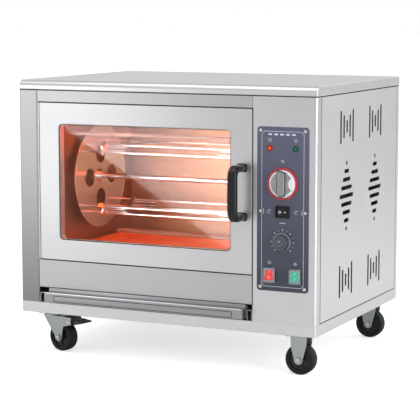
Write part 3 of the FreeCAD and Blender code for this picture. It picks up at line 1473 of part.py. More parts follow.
def make_casters():
    swivel_fork, rigid_fork = make_swivel_fork(), make_rigid_fork()
    axle, wheel, pedal = make_axle(), make_wheel(), make_pedal()
    swivel_x = left_side + d.left_caster_inset
    trail = d.caster_trail
    half_plate = d.caster_plate / 2

    plates = []
    ends = (("front", front + d.caster_setback, FRONT_CASTER_YAW),
            ("rear", back - d.caster_setback, REAR_CASTER_YAW))
    for end, y, yaw in ends:
        turn = Rotation(Vector(0, 0, 1), yaw)
        fork = group(f"left_{end}_fork", [
            copy_of(swivel_fork, f"left_{end}_fork_sheet", (0, 0, 0)),
            copy_of(axle, f"left_{end}_axle", (trail, 0, d.wheel_radius), TOWARDS_BACK)])
        node(f"left_{end}_fork", place(fork, (swivel_x, y, 0), turn))
        along, across = math.cos(math.radians(yaw)), math.sin(math.radians(yaw))
        hub = (swivel_x + trail * along, y + trail * across, d.wheel_radius)
        rolling = turn.multiply(TOWARDS_BACK)
        left_wheel = copy_of(wheel, f"left_{end}_wheel_copy", hub, rolling)
        node(f"left_{end}_wheel", group(f"left_{end}_wheel", [left_wheel]))
        pressed = copy_of(pedal, f"left_{end}_pedal_copy", (swivel_x, y, 0), turn)
        node(f"left_{end}_pedal", group(f"left_{end}_pedal", [pressed]))

        race_low = plate_under - d.race_height
        pin_end = fork_top - d.fork_sheet - d.fit_gap
        plates.append(fused(f"{end}_swivel_plate", [
            block(f"{end}_plate", (swivel_x - half_plate, y - half_plate, plate_under),
                  (swivel_x + half_plate, y + half_plate, base)),
            rod(f"{end}_race", (swivel_x, y, race_low), d.race_height, d.race_radius),
            rod(f"{end}_kingpin", (swivel_x, y, pin_end), race_low - pin_end, d.axle_radius),
            rod(f"{end}_kingpin_head", (swivel_x, y, pin_end - 3), 3, d.axle_radius + 4),
        ]))
    node("swivel_plates", group("swivel_plates", plates))

    rigid_x = right_side - d.right_caster_inset
    rigid = []
    for end, y, yaw in ends:
        rigid += [
            block(f"rigid_{end}_plate", (rigid_x - half_plate, y - half_plate, plate_under),
                  (rigid_x + half_plate, y + half_plate, base)),
            copy_of(rigid_fork, f"rigid_{end}_fork", (rigid_x, y, 0)),
            copy_of(axle, f"rigid_{end}_axle", (rigid_x, y, d.wheel_radius), TOWARDS_BACK),
        ]
        right_wheel = copy_of(wheel, f"right_{end}_wheel_copy", (rigid_x, y, d.wheel_radius), TOWARDS_BACK)
        node(f"right_{end}_wheel", group(f"right_{end}_wheel", [right_wheel]))
    node("right_caster_forks", group("right_caster_forks", rigid))


# ---- fasteners ---------------------------------------------------------------------------------

def make_screws():
    """Pan-head screws in the sheets, and dome-head bolts through the caster plates."""
    pan = turned("pan_screw", [(0, -7), (1.9, -7), (1.9, 0), (3.8, 0), (3.8, 1), (2.8, 2.1), (0, 2.4)])
    dome = turned("dome_bolt", [(0, -10), (3, -10), (3, 0), (5.2, 0), (5.2, 0.8), (3.4, 2.2), (0, 2.5)])
    screws = []

    def add(master, spot, turn):
        screws.append(copy_of(master, f"screw_{len(screws)}", spot, turn))

    low, high = base + d.overlay_low, base + d.overlay_low + d.overlay_height
    inset = d.overlay_screw_inset
    for x in (overlay_left + inset, overlay_right - inset):
        for z in (low + inset, base + d.black_rocker_level, high - inset):
            add(pan, (x, overlay_front, z), TOWARDS_FRONT)
    rear_low, rear_high = band_top + 14, body_top - 14
    for x in (left_side + 60, as_size(0), right_side - 60):
        for z in (rear_low, rear_high, body_top + d.cover_height / 2):
            add(pan, (x, back, z), TOWARDS_BACK)
    bolt = d.caster_plate / 2 - d.bolt_inset
    for x in (left_side + d.left_caster_inset, right_side - d.right_caster_inset):
        for y in (front + d.caster_setback, back - d.caster_setback):
            for side_x in (-1, 1):
                for side_y in (-1, 1):
                    spot = (x + bolt * side_x, y + bolt * side_y, plate_under)
                    add(dome, spot, TOWARDS_FLOOR)
    node("screws", group("screws", screws))


# ---- build, check and write --------------------------------------------------------------------

def check_document():
    """Stop if any feature failed, any cut removed nothing or any sub-part isn't sound."""
    for thing in DOC.Objects:
        if "Invalid" in thing.State or "Error" in thing.State:
            raise RuntimeError(f"{thing.Name} failed: {thing.State}")
        if thing.TypeId == "PartDesign::Pocket":
            before = thing.BaseFeature.Shape.Volume
            if thing.Shape.Volume > before - 1e-6:
                raise RuntimeError(f"{thing.Name} cut nothing")
    for piece in NODES:
        shape = piece.Shape
        if shape.isNull() or not shape.isValid() or not shape.Solids:
            raise RuntimeError(f"{piece.Label} isn't a sound solid")


def write_parts():
    os.makedirs("parts", exist_ok=True)
    for piece in NODES:
        piece.Shape.exportStep(f"parts/{piece.Label}.step")


make_base_pan()
make_side_panels()
make_back_panel()
make_top_cover()
make_front_rails()
make_control_column()
make_door_frame()
make_chamber()
make_heaters()
make_lamp()
make_door()
make_hinge()
make_handle()
make_magnet_catch()
make_drip_tray()
make_carousel()
make_meat_forks()
make_bearings()
make_drive()
make_overlay()
make_control_bodies()
make_knobs()
make_indicators()
make_rockers()
make_terminal_block()
make_cable_gland()
make_casters()
make_screws()
DOC.recompute()
check_document()
write_parts()
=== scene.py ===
import json
import math
import bmesh
import bpy
from mathutils import Matrix, Vector

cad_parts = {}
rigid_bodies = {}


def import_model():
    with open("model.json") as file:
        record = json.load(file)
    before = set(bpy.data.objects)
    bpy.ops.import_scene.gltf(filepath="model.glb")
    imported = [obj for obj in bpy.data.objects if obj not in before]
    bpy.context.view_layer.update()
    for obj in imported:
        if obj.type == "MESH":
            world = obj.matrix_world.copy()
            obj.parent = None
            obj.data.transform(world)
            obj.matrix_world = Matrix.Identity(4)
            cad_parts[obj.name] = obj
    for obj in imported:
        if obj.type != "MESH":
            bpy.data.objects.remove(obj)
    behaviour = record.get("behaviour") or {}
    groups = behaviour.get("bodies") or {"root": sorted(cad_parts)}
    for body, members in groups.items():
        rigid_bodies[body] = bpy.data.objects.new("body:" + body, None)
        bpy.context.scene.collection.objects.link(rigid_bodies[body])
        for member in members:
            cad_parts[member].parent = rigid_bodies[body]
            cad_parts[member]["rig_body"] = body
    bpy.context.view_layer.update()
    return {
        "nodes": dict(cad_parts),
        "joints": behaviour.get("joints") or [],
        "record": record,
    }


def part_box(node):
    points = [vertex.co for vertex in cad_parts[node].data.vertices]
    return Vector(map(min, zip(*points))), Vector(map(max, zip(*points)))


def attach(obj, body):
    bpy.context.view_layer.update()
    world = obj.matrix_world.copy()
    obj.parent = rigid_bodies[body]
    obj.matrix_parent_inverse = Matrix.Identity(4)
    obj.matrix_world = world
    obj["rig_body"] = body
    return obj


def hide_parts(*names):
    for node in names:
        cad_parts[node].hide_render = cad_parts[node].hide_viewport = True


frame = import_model()

# ---- camera ------------------------------------------------------------------------------------
# A long lens well back from the oven, a little to its right and just above its top, so that the
# front, the service side and the underside of the base all show.

camera_turn, camera_rise = math.radians(25.309), math.radians(7.297)
camera = bpy.data.objects.new("camera", bpy.data.cameras.new("camera"))
bpy.context.scene.collection.objects.link(camera)
camera.data.lens, camera.data.sensor_width = 139.97, 36
camera.location = (1.5553, -3.2891, 0.7716)
towards_camera = Vector((math.sin(camera_turn) * math.cos(camera_rise),
                         -math.cos(camera_turn) * math.cos(camera_rise), math.sin(camera_rise)))
camera.rotation_euler = towards_camera.to_track_quat("Z", "Y").to_euler()
bpy.context.scene.camera = camera

# ---- studio ------------------------------------------------------------------------------------
# White paper floor under soft boxes: one overhead, one at the front left, one at the front right
# corner, one at the side and one behind, in a pale room that the steel reflects.

bpy.context.scene.view_settings.view_transform = "Standard"


def add_node(tree, kind, settings=None, **inputs):
    """A shader node with settings and sockets; an input may be a value or another node's output."""
    made = tree.nodes.new("ShaderNode" + kind)
    for key, value in (settings or {}).items():
        setattr(made, key, value)
    for key, value in inputs.items():
        socket = made.inputs[int(key[1:]) if key[0] == "i" and key[1:].isdigit() else key]
        if isinstance(value, bpy.types.NodeSocket):
            tree.links.new(value, socket)
        else:
            socket.default_value = value
    return made


def set_sockets(shader, **sockets):
    """Plain values on a shader's own sockets, where an underscore stands for a space."""
    for label, value in sockets.items():
        shader.inputs[label.replace("_", " ")].default_value = value


def new_material(name):
    material = bpy.data.materials.new(name)
    material.use_nodes = True
    return material, material.node_tree, material.node_tree.nodes["Principled BSDF"]


room = bpy.data.worlds.new("room")
bpy.context.scene.world = room
room.use_nodes = True
room_tree = room.node_tree
room_place = room_tree.nodes.new("ShaderNodeTexCoord")
room_axes = add_node(room_tree, "SeparateXYZ", i0=room_place.outputs["Generated"])
room_ramp = add_node(room_tree, "ValToRGB", Fac=room_axes.outputs["Z"])
for stop, place, color in zip(room_ramp.color_ramp.elements, (0.05, 0.8),
                              ((0.64, 0.645, 0.655, 1), (0.50, 0.505, 0.52, 1))):
    stop.position, stop.color = place, color
room_glow = room_tree.nodes["Background"]
room_tree.links.new(room_ramp.outputs["Color"], room_glow.inputs["Color"])
room_glow.inputs["Strength"].default_value = 1.22
white_wall = add_node(room_tree, "Background", Color=(1, 1, 1, 1))
room_path = room_tree.nodes.new("ShaderNodeLightPath")
seen_or_lit = add_node(room_tree, "MixShader", Fac=room_path.outputs["Is Camera Ray"],
                       i1=room_glow.outputs[0], i2=white_wall.outputs[0])
room_tree.links.new(seen_or_lit.outputs[0], room_tree.nodes["World Output"].inputs["Surface"])


def soft_box(name, spot, aim, width, height, power, tint=(1, 1, 1)):
    """A flat lamp at a spot, aimed at a point."""
    light = bpy.data.lights.new(name, "AREA")
    light.shape, light.size, light.size_y = "RECTANGLE", width, height
    light.energy, light.color = power, tint
    lamp = bpy.data.objects.new(name, light)
    lamp.location = spot
    lamp.visible_camera = False
    lamp.rotation_euler = (Vector(spot) - Vector(aim)).to_track_quat("Z", "Y").to_euler()
    bpy.context.scene.collection.objects.link(lamp)
    return lamp


soft_box("top_box", (-0.3, -0.9, 2.6), (0, 0, 0.3), 2.4, 1.6, 15)
soft_box("left_strip", (-1.05, -1.5, 0.50), (-0.15, -0.2, 0.35), 0.6, 0.9, 1.9)
soft_box("corner_strip", (2.0, -1.0, 0.55), (0.35, -0.236, 0.35), 0.5, 1.5, 16)
soft_box("side_box", (2.4, 0.9, 1.3), (0.3, 0, 0.3), 1.4, 1.6, 15)
soft_box("rear_box", (1.7, 2.3, 1.7), (0, 0.2, 0.3), 1.8, 1.4, 8)

floor_shape = bmesh.new()
bmesh.ops.create_grid(floor_shape, x_segments=1, y_segments=1, size=30)
floor_mesh = bpy.data.meshes.new("paper_floor")
floor_shape.to_mesh(floor_mesh)
floor_shape.free()
paper, paper_tree, paper_shader = new_material("white_paper")
set_sockets(paper_shader, Base_Color=(0.93, 0.93, 0.93, 1), Roughness=0.9)
paper_path = paper_tree.nodes.new("ShaderNodeLightPath")
paper_power = add_node(paper_tree, "Math", {"operation": "MULTIPLY"},
                       i0=paper_path.outputs["Is Camera Ray"], i1=0.55)
paper_glow = add_node(paper_tree, "Emission", Strength=paper_power.outputs[0])
paper_sum = add_node(paper_tree, "AddShader", i0=paper_shader.outputs[0], i1=paper_glow.outputs[0])
paper_tree.links.new(paper_sum.outputs[0], paper_tree.nodes["Material Output"].inputs["Surface"])
floor_mesh.materials.append(paper)
paper_floor = bpy.data.objects.new("paper_floor", floor_mesh)
bpy.context.scene.collection.objects.link(paper_floor)

# ---- cabinet shell -----------------------------------------------------------------------------
# Folded stainless sheet with a fine brushed finish. The front rails and the cover are brushed from
# side to side, the side panels from front to back. Every cut edge is eased by hand.


def new_group(name, inputs, outputs):
    """An empty shader group with named sockets, and its two end nodes."""
    group = bpy.data.node_groups.new(name, "ShaderNodeTree")
    for label, kind, value in inputs:
        socket = group.interface.new_socket(label, in_out="INPUT", socket_type="NodeSocket" + kind)
        if value is not None:
            socket.default_value = value
    for label, kind in outputs:
        group.interface.new_socket(label, in_out="OUTPUT", socket_type="NodeSocket" + kind)
    return group, group.nodes.new("NodeGroupInput"), group.nodes.new("NodeGroupOutput")


def math_node(tree, operation, first, second):
    return add_node(tree, "Math", {"operation": operation}, i0=first, i1=second).outputs[0]


def make_grain_group():
    """Brushed or satin metal: streaks along one way, and faint cloudy smears."""
    group, given, result = new_group("grain", [
        ("Vector", "Vector", None), ("Along", "Vector", (4, 400, 400)), ("Color", "Color", None),
        ("Roughness", "Float", 0.3), ("Streaks", "Float", 0.1), ("Smears", "Float", 0.1),
        ("Depth", "Float", 0.1)],
        [("Color", "Color"), ("Roughness", "Float"), ("Normal", "Vector")])
    stretched = add_node(group, "VectorMath", {"operation": "MULTIPLY"},
                         i0=given.outputs["Vector"], i1=given.outputs["Along"]).outputs[0]
    streaks = add_node(group, "TexNoise", Vector=stretched, Scale=1, Detail=5, Roughness=0.65)
    smears = add_node(group, "TexNoise", Vector=given.outputs["Vector"], Scale=7, Detail=4, Distortion=0.6)
    streak = math_node(group, "SUBTRACT", streaks.outputs["Fac"], 0.5)
    smear = math_node(group, "SUBTRACT", smears.outputs["Fac"], 0.5)
    streak = math_node(group, "MULTIPLY", streak, given.outputs["Streaks"])
    smear = math_node(group, "MULTIPLY", smear, given.outputs["Smears"])
    both = math_node(group, "ADD", streak, smear)
    tone = math_node(group, "ADD", both, 1)
    color = add_node(group, "VectorMath", {"operation": "SCALE"}, i0=given.outputs["Color"], Scale=tone)
    roughness = math_node(group, "ADD", both, given.outputs["Roughness"])
    bump = add_node(group, "Bump", Strength=given.outputs["Depth"], Distance=0.0002,
                    Height=streaks.outputs["Fac"])
    group.links.new(color.outputs[0], result.inputs["Color"])
    group.links.new(roughness, result.inputs["Roughness"])
    group.links.new(bump.outputs[0], result.inputs["Normal"])
    return group


grain_group = make_grain_group()


def grained(name, color, roughness, along, streaks, smears, depth, metallic=1.0, **sockets):
    """A material whose colour, roughness and relief come from the grain group."""
    material, tree, shader = new_material(name)
    coordinates = tree.nodes.new("ShaderNodeTexCoord")
    grain = tree.nodes.new("ShaderNodeGroup")
    grain.node_tree = grain_group
    tree.links.new(coordinates.outputs["Object"], grain.inputs["Vector"])
    grain.inputs["Along"].default_value = along
    grain.inputs["Color"].default_value = (*color, 1)
    for label, value in (("Roughness", roughness), ("Streaks", streaks), ("Smears", smears),
                         ("Depth", depth)):
        grain.inputs[label].default_value = value
    tree.links.new(grain.outputs["Color"], shader.inputs["Base Color"])
    tree.links.new(grain.outputs["Roughness"], shader.inputs["Roughness"])
    tree.links.new(grain.outputs["Normal"], shader.inputs["Normal"])
    set_sockets(shader, Metallic=metallic, **sockets)
    return material


def rising_tone(material, low, high, dark, light):
    """Make a grained finish change tone from one height to another."""
    tree = material.node_tree
    place = next(node for node in tree.nodes if node.type == "TEX_COORD")
    grain = next(node for node in tree.nodes if node.type == "GROUP")
    axes = add_node(tree, "SeparateXYZ", i0=place.outputs["Object"])
    rise = add_node(tree, "MapRange", i0=axes.outputs["Z"], i1=low, i2=high)
    tone = add_node(tree, "ValToRGB", Fac=rise.outputs[0])
    tone.color_ramp.elements[0].color = (*dark, 1)
    tone.color_ramp.elements[1].color = (*light, 1)
    tree.links.new(tone.outputs["Color"], grain.inputs["Color"])
    return material


def coat(nodes, material):
    """Give CAD parts their finish."""
    for node in nodes.split():
        for slot in frame["nodes"][node].material_slots:
            slot.material = material


def finished(name, shape, materials, body, replaced=(), sharp=35):
    """Turn a shape into a piece that rides on a body, smooth except at its sharp edges."""
    mesh = bpy.data.meshes.new(name)
    shape.to_mesh(mesh)
    shape.free()
    for material in materials if isinstance(materials, (list, tuple)) else [materials]:
        mesh.materials.append(material)
    mesh.polygons.foreach_set("use_smooth", [True] * len(mesh.polygons))
    mesh.set_sharp_from_angle(angle=math.radians(sharp))
    piece = bpy.data.objects.new(name, mesh)
    bpy.context.scene.collection.objects.link(piece)
    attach(piece, body)
    if replaced:
        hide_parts(*replaced)
    return piece


same_point = 2e-6


def eased(nodes, material, edge):
    """The same parts with their sharp edges eased, which is what catches the light."""
    for node in nodes.split():
        source = frame["nodes"][node]
        shape = bmesh.new()
        shape.from_mesh(source.data)
        bmesh.ops.remove_doubles(shape, verts=shape.verts, dist=same_point)
        bmesh.ops.dissolve_limit(shape, angle_limit=math.radians(0.2), verts=shape.verts,
                                 edges=shape.edges)
        for face in shape.faces:
            face.material_index = 0
        piece = finished(f"{node}_eased", shape, material, source["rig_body"], (node,))
        bevel = piece.modifiers.new("eased_edges", "BEVEL")
        bevel.width, bevel.segments = edge, 2
        bevel.limit_method, bevel.angle_limit = "ANGLE", math.radians(40)
        weights = piece.modifiers.new("flat_faces", "WEIGHTED_NORMAL")
        weights.keep_sharp, weights.weight = True, 60


along_width, along_depth, along_height = (4, 420, 420), (420, 4, 420), (420, 420, 4)
# Painted light and shade: these copies of one stainless steel differ only in tone, the front rails darker
# and the side panels and the cover lighter.
column_steel = grained("brushed_stainless_column", (0.65, 0.65, 0.655), 0.34, along_width, 0.10, 0.06, 0.10)
rail_steel = grained("brushed_stainless_rails", (0.52, 0.52, 0.525), 0.34, along_width, 0.10, 0.06, 0.10)
side_steel = grained("brushed_stainless_side", (0.70, 0.70, 0.705), 0.38, along_depth, 0.08, 0.06, 0.10)
cover_steel = grained("brushed_stainless_cover", (0.72, 0.72, 0.725), 0.30, along_width, 0.08, 0.05, 0.08)
eased("control_column", column_steel, 0.0004)
eased("front_header lower_fascia", rail_steel, 0.0004)
band_steel = grained("brushed_stainless_band", (0.67, 0.67, 0.675), 0.34, along_width, 0.10, 0.06, 0.10)
eased("base_pan", band_steel, 0.0008)
eased("right_side_panel back_panel", side_steel, 0.0003)
eased("top_cover", cover_steel, 0.0012)

# Painted shade: the stile's steel is made darker towards the bottom, where less light falls.
stile_painted_shade = grained("stile_stainless_painted_shade", (0.5, 0.5, 0.5), 0.36, along_height, 0.10, 0.06, 0.10)
rising_tone(stile_painted_shade, 0.11, 0.58, (0.27, 0.27, 0.275), (0.50, 0.50, 0.505))
eased("left_side_panel", stile_painted_shade, 0.0003)

# ---- seam strips -------------------------------------------------------------------------------
# Thin black strips in the joints round the door, under the cover and round the service panel: painted
# shade that stands in for the dark gaps of the seams.

painted_seam_shade = grained("painted_seam_shade", (0.012, 0.012, 0.013), 0.65, (300, 300, 300), 0.1, 0.1, 0.1, 0.0)
panel_low, panel_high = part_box("right_side_panel")
body_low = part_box("control_column")[0]
door_low, door_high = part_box("door_panel")
cover_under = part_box("top_cover")[0].z


def seam_shade_strip(low, high):
    """A dark strip of painted seam shade between two corners, with its edges rounded."""
    shape = bmesh.new()
    low, high = Vector(low), Vector(high)
    bmesh.ops.create_cube(shape, size=1, matrix=Matrix.Translation((low + high) / 2)
                          @ Matrix.Diagonal((*(high - low), 1)))
    bmesh.ops.bevel(shape, geom=shape.edges[:], offset=0.00018, offset_type="OFFSET", affect="EDGES",
                    segments=2, profile=0.5, material=-1)
    return shape


def gathered(*parts):
    """Several shapes in one mesh. A (number, shape) pair takes that material number."""
    whole = bmesh.new()
    for part in parts:
        number, shape = part if isinstance(part, tuple) else (0, part)
        for face in shape.faces:
            face.material_index = number
        scrap = bpy.data.meshes.new("scrap")
        shape.to_mesh(scrap)
        shape.free()
        whole.from_mesh(scrap)
        bpy.data.meshes.remove(scrap)
    return whole


front = body_low.y
proud = 0.00025
side_root, side_face = panel_high.x - 0.001, panel_high.x + 0.00004
front_root = front + 0.004
wide_half, flat_half = 0.0014, 0.0009
gap_start, gap_end = 0.0004, 0.0022
door_gap = door_high.x + 0.0028
seam_shade_strips = [seam_shade_strip((side_root, y - wide_half, panel_low.z), (side_face, y + wide_half, panel_high.z))
         for y in (panel_low.y + wide_half, panel_high.y - wide_half)]
seam_shade_strips += [seam_shade_strip((side_root, panel_low.y, z - flat_half), (side_face, panel_high.y, z + flat_half))
          for z in (panel_low.z + flat_half, panel_high.z - flat_half)]
seam_shade_strips.append(seam_shade_strip((door_low.x, front - proud, door_high.z + gap_start),
                  (door_gap, front_root, door_high.z + gap_end)))
seam_shade_strips.append(seam_shade_strip((door_low.x, front - proud, door_low.z - gap_end),
                  (door_gap, front_root, door_low.z - gap_start)))
seam_shade_strips.append(seam_shade_strip((door_high.x + 0.0008, front - proud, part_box("lower_fascia")[0].z),
                  (door_gap, front_root, door_high.z + gap_end)))
seam_shade_strips.append(seam_shade_strip((-0.349, front - proud, cover_under - gap_end), (0.3495, front_root, cover_under)))
seam_shade_strips.append(seam_shade_strip((side_root, front + 0.001, cover_under - gap_end),
                  (side_face, panel_high.y + 0.01, cover_under)))
finished("painted_joint_shade_strips", gathered(*seam_shade_strips), painted_seam_shade, "cabinet")

# ---- chamber -----------------------------------------------------------------------------------
# Steel lining whose rust brown is partly heat tint from long use and partly painted orange glow, with
# mineral wool behind it. Four hairpin heaters glow at a working heat, and a lamp behind a glass dome sits on
# the right wall.

lining = grained("heat_tint_and_painted_glow_lining", (0.36, 0.155, 0.085), 0.38, (30, 30, 30), 0.12, 0.30, 0.05, 0.55)
coat("chamber_floor chamber_roof chamber_back chamber_side_walls door_frame", lining)
zinc_sheet = grained("zinc_coated_sheet", (0.55, 0.56, 0.57), 0.42, (90, 90, 90), 0.16, 0.20, 0.05)
coat("tray_runners gear_motor", zinc_sheet)
mineral_wool = grained("mineral_wool", (0.85, 0.82, 0.72), 0.95, (260, 260, 260), 0.5, 0.3, 1.0, 0.0)
coat("insulation_slabs", mineral_wool)

heater_glow, heater_tree, heater_shader = new_material("glowing_heater_sheath")
heater_place = heater_tree.nodes.new("ShaderNodeTexCoord")
heater_noise = add_node(heater_tree, "TexNoise", Vector=heater_place.outputs["Object"], Scale=18, Detail=4)
heater_ramp = add_node(heater_tree, "ValToRGB", Fac=heater_noise.outputs["Fac"])
heater_ramp.color_ramp.elements[0].color = (0.55, 0.035, 0.004, 1)
heater_ramp.color_ramp.elements[1].color = (1.0, 0.22, 0.03, 1)
heater_axes = add_node(heater_tree, "SeparateXYZ", i0=heater_place.outputs["Object"])
glow_ends, full_glow = 0.185, 0.165  # X: the terminals beyond the wall stay dark
heater_end = add_node(heater_tree, "MapRange", i0=heater_axes.outputs["X"], i1=glow_ends, i2=full_glow)
heater_lit = add_node(heater_tree, "VectorMath", {"operation": "SCALE"},
                      i0=heater_ramp.outputs["Color"], Scale=heater_end.outputs[0])
heater_tree.links.new(heater_lit.outputs[0], heater_shader.inputs["Emission Color"])
set_sockets(heater_shader, Emission_Strength=0.30, Base_Color=(0.12, 0.08, 0.07, 1), Roughness=0.6)
coat("heater_elements", heater_glow)

ceramic = grained("glazed_ceramic", (0.80, 0.78, 0.72), 0.25, (60, 60, 60), 0.05, 0.06, 0.02, 0.0)
coat("lamp_holder", ceramic)
bulb_glass, _, bulb_shader = new_material("lamp_dome_glass")
set_sockets(bulb_shader, Base_Color=(1.0, 0.93, 0.80, 1), Roughness=0.25, Transmission_Weight=0.6,
            Emission_Color=(1.0, 0.80, 0.52, 1), Emission_Strength=1.2)
coat("lamp_glass", bulb_glass)

chamber_low, chamber_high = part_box("chamber_floor")
roof_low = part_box("chamber_roof")[0].z
middle = (chamber_low + chamber_high) / 2
soft_box("glow_floor", (middle.x - 0.06, middle.y, chamber_high.z + 0.012),
         (middle.x - 0.06, middle.y, 1), 0.34, 0.3, 0.16, (1.0, 0.05, 0.006))
soft_box("glow_left", (middle.x - 0.10, middle.y - 0.10, roof_low - 0.02),
         (chamber_low.x, middle.y - 0.05, chamber_high.z + 0.08), 0.12, 0.12, 0.62, (1.0, 0.09, 0.003))
soft_box("glow_roof", (middle.x + 0.08, middle.y - 0.04, roof_low - 0.006),
         (middle.x + 0.07, middle.y + 0.05, 0), 0.30, 0.24, 0.12, (1.0, 0.09, 0.012))
soft_box("glow_lamp", (chamber_high.x - 0.03, middle.y + 0.02, roof_low - 0.07),
         (chamber_high.x - 0.01, chamber_high.y, chamber_high.z + 0.16), 0.06, 0.06, 0.24, (1.0, 0.84, 0.72))

# ---- door --------------------------------------------------------------------------------------
# Two stainless pans back to back with a tempered glass pane between them, held in a black silicone
# frame. It hangs on a piano hinge and is pulled by a black bow handle.

door_steel = grained("brushed_stainless_door", (0.64, 0.64, 0.645), 0.32, along_width, 0.10, 0.07, 0.10)
eased("door_panel", door_steel, 0.00035)
eased("door_liner", zinc_sheet, 0.0003)
hinge_steel = grained("hinge_steel", (0.5, 0.5, 0.5), 0.3, (200, 200, 8), 0.1, 0.1, 0.05)
eased("hinge_cabinet_leaf hinge_door_leaf", hinge_steel, 0.00015)
silicone = grained("black_silicone", (0.02, 0.02, 0.02), 0.6, (500, 500, 500), 0.2, 0.1, 0.3, 0.0)
coat("door_gasket", silicone)

glass, glass_tree, glass_shader = new_material("tempered_glass")
set_sockets(glass_shader, Base_Color=(0.97, 0.99, 0.98, 1), Roughness=0.0, IOR=1.12,
            Transmission_Weight=1.0)
# Light that falls in through the pane is dimmed by its tint.
dimmed = add_node(glass_tree, "BsdfTransparent", Color=(0.50, 0.46, 0.44, 1))
path = glass_tree.nodes.new("ShaderNodeLightPath")
mixed = add_node(glass_tree, "MixShader", Fac=path.outputs["Is Shadow Ray"],
                 i1=glass_shader.outputs[0], i2=dimmed.outputs[0])
glass_tree.links.new(mixed.outputs[0], glass_tree.nodes["Material Output"].inputs["Surface"])
coat("door_glass", glass)

# A tilted light panel that only the pane picks up: it lays a pale diagonal sheen over the window.
sheen = soft_box("window_sheen", (-0.414, -1.2, 0.4637), (-0.414, 0, 0.4637), 1.3, 0.5, 85)
sheen.rotation_euler = Matrix(((0.8487, 0.5289, 0), (0, 0, -1), (-0.5289, 0.8487, 0))).to_euler()
pane_only = bpy.data.collections.new("pane_only")
pane_only.objects.link(frame["nodes"]["door_glass"])
sheen.light_linking.receiver_collection = pane_only

black_gloss = grained("black_gloss_moulding", (0.012, 0.012, 0.014), 0.16, (350, 350, 350),
                      0.05, 0.06, 0.02, 0.0, Coat_Weight=0.15, Coat_Roughness=0.08,
                      Specular_IOR_Level=0.22)
eased("door_handle", black_gloss, 0.0006)


def placed(shape, spot, turn=Matrix()):
    """Turn a shape and move it to its place."""
    bmesh.ops.transform(shape, matrix=Matrix.Translation(spot) @ turn.to_4x4(), verts=shape.verts)
    return shape


def slab(width, depth, height, corner=0.0, rim=0.0):
    """A block centred on the origin, with rounded uprights and an eased top rim."""
    shape = bmesh.new()
    bmesh.ops.create_cube(shape, size=1)
    bmesh.ops.scale(shape, vec=(width, depth, height), verts=shape.verts)
    if corner:
        upright = [e for e in shape.edges if abs(e.verts[0].co.z - e.verts[1].co.z) > height / 2]
        bmesh.ops.bevel(shape, geom=upright, offset=corner, offset_type="OFFSET", segments=6, profile=0.5,
                        affect="EDGES", material=-1)
    if rim:
        top = [e for e in shape.edges if min(e.verts[0].co.z, e.verts[1].co.z) > height * 0.49]
        bmesh.ops.bevel(shape, geom=top, offset=rim, offset_type="OFFSET", segments=3, profile=0.5,
                        affect="EDGES", material=-1)
    return shape


def turned(profile, steps=56):
    """(radius, height) points spun about Z into a closed skin."""
    shape = bmesh.new()
    points = [shape.verts.new((radius, 0, height)) for radius, height in profile]
    for first, second in zip(points, points[1:]):
        shape.edges.new((first, second))
    bmesh.ops.spin(shape, geom=shape.verts[:] + shape.edges[:], axis=(0, 0, 1), cent=(0, 0, 0),
                   angle=2 * math.pi, steps=steps, use_merge=True)
    bmesh.ops.remove_doubles(shape, verts=shape.verts, dist=1e-6)
    bmesh.ops.recalc_face_normals(shape, faces=shape.faces)
    return shape


to_front = Matrix.Rotation(math.radians(90), 3, "X")
to_back = Matrix.Rotation(math.radians(-90), 3, "X")
to_floor = Matrix.Rotation(math.radians(180), 3, "X")

handle_low, handle_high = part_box("door_handle")
door_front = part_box("door_panel")[0].y
handle_x = (handle_low.x + handle_high.x) / 2
foot_inset, foot_height = 0.0075, 0.004
feet = []
for foot_z in (handle_low.z + foot_inset, handle_high.z - foot_inset):
    foot = slab(0.024, 0.018, foot_height, 0.0055, 0.0012)
    feet.append(placed(foot, (handle_x, door_front - foot_height / 2, foot_z), to_front))
finished("handle_feet", gathered(*feet), black_gloss, "door")

# ---- drip tray ---------------------------------------------------------------------------------
# Shallow pressed pan whose hollow front is pulled by its rolled lip. The front has a pressed panel
# with a rounded outline, and its steel is duller and darker than the cabinet's.

tray_steel = grained("dull_tray_steel", (0.355, 0.36, 0.365), 0.36, along_width, 0.16, 0.12, 0.12)
# Painted highlight: the rolled lip is the tray's own steel made far lighter, for the glint along its edge.
lip_painted_highlight = grained("tray_lip_painted_highlight", (0.80, 0.80, 0.81), 0.22, along_width, 0.05, 0.05, 0.05)
eased("drip_tray tray_front", tray_steel, 0.0004)
tray_low, tray_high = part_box("tray_front")
tray_middle = (tray_low + tray_high) / 2
tray_width = tray_high.x - tray_low.x
lip = slab(tray_width - 0.004, 0.0024, 0.0020, 0.0, 0.0007)
placed(lip, (tray_middle.x, tray_low.y + 0.0014, tray_high.z - 0.0002))
finished("tray_lip", lip, lip_painted_highlight, "tray")
upstand = slab(tray_width - 0.002, 0.0085, 0.0009, 0.0, 0.0003)
placed(upstand, (tray_middle.x, tray_high.y - 0.0006, tray_high.z + 0.0034),
       Matrix.Rotation(math.radians(80), 3, "X"))
finished("tray_upstand", upstand, tray_steel, "tray")
# Painted shade: a near-black ring round the pressed panel stands in for the shade in its groove.
pressing_groove_shade = grained("tray_groove_painted_shade", (0.035, 0.035, 0.037), 0.5, along_width, 0.10, 0.10, 0.05)
outline = slab(tray_width - 0.046, 0.0130, 0.0006, 0.004)
pressing = slab(tray_width - 0.0485, 0.0108, 0.0016, 0.003, 0.0006)
pressed_face = gathered((1, outline), pressing)
placed(pressed_face, (tray_middle.x, tray_low.y - 0.0001, tray_middle.z - 0.0015), to_front)
finished("tray_pressing", pressed_face, [tray_steel, pressing_groove_shade], "tray")

# ---- carousel and drive ------------------------------------------------------------------------
# Two polished discs on a bright shaft carry four twin-rod spits with sliding meat forks. A gear on
# the shaft's end meets the pinion of a small gear motor behind the control column.

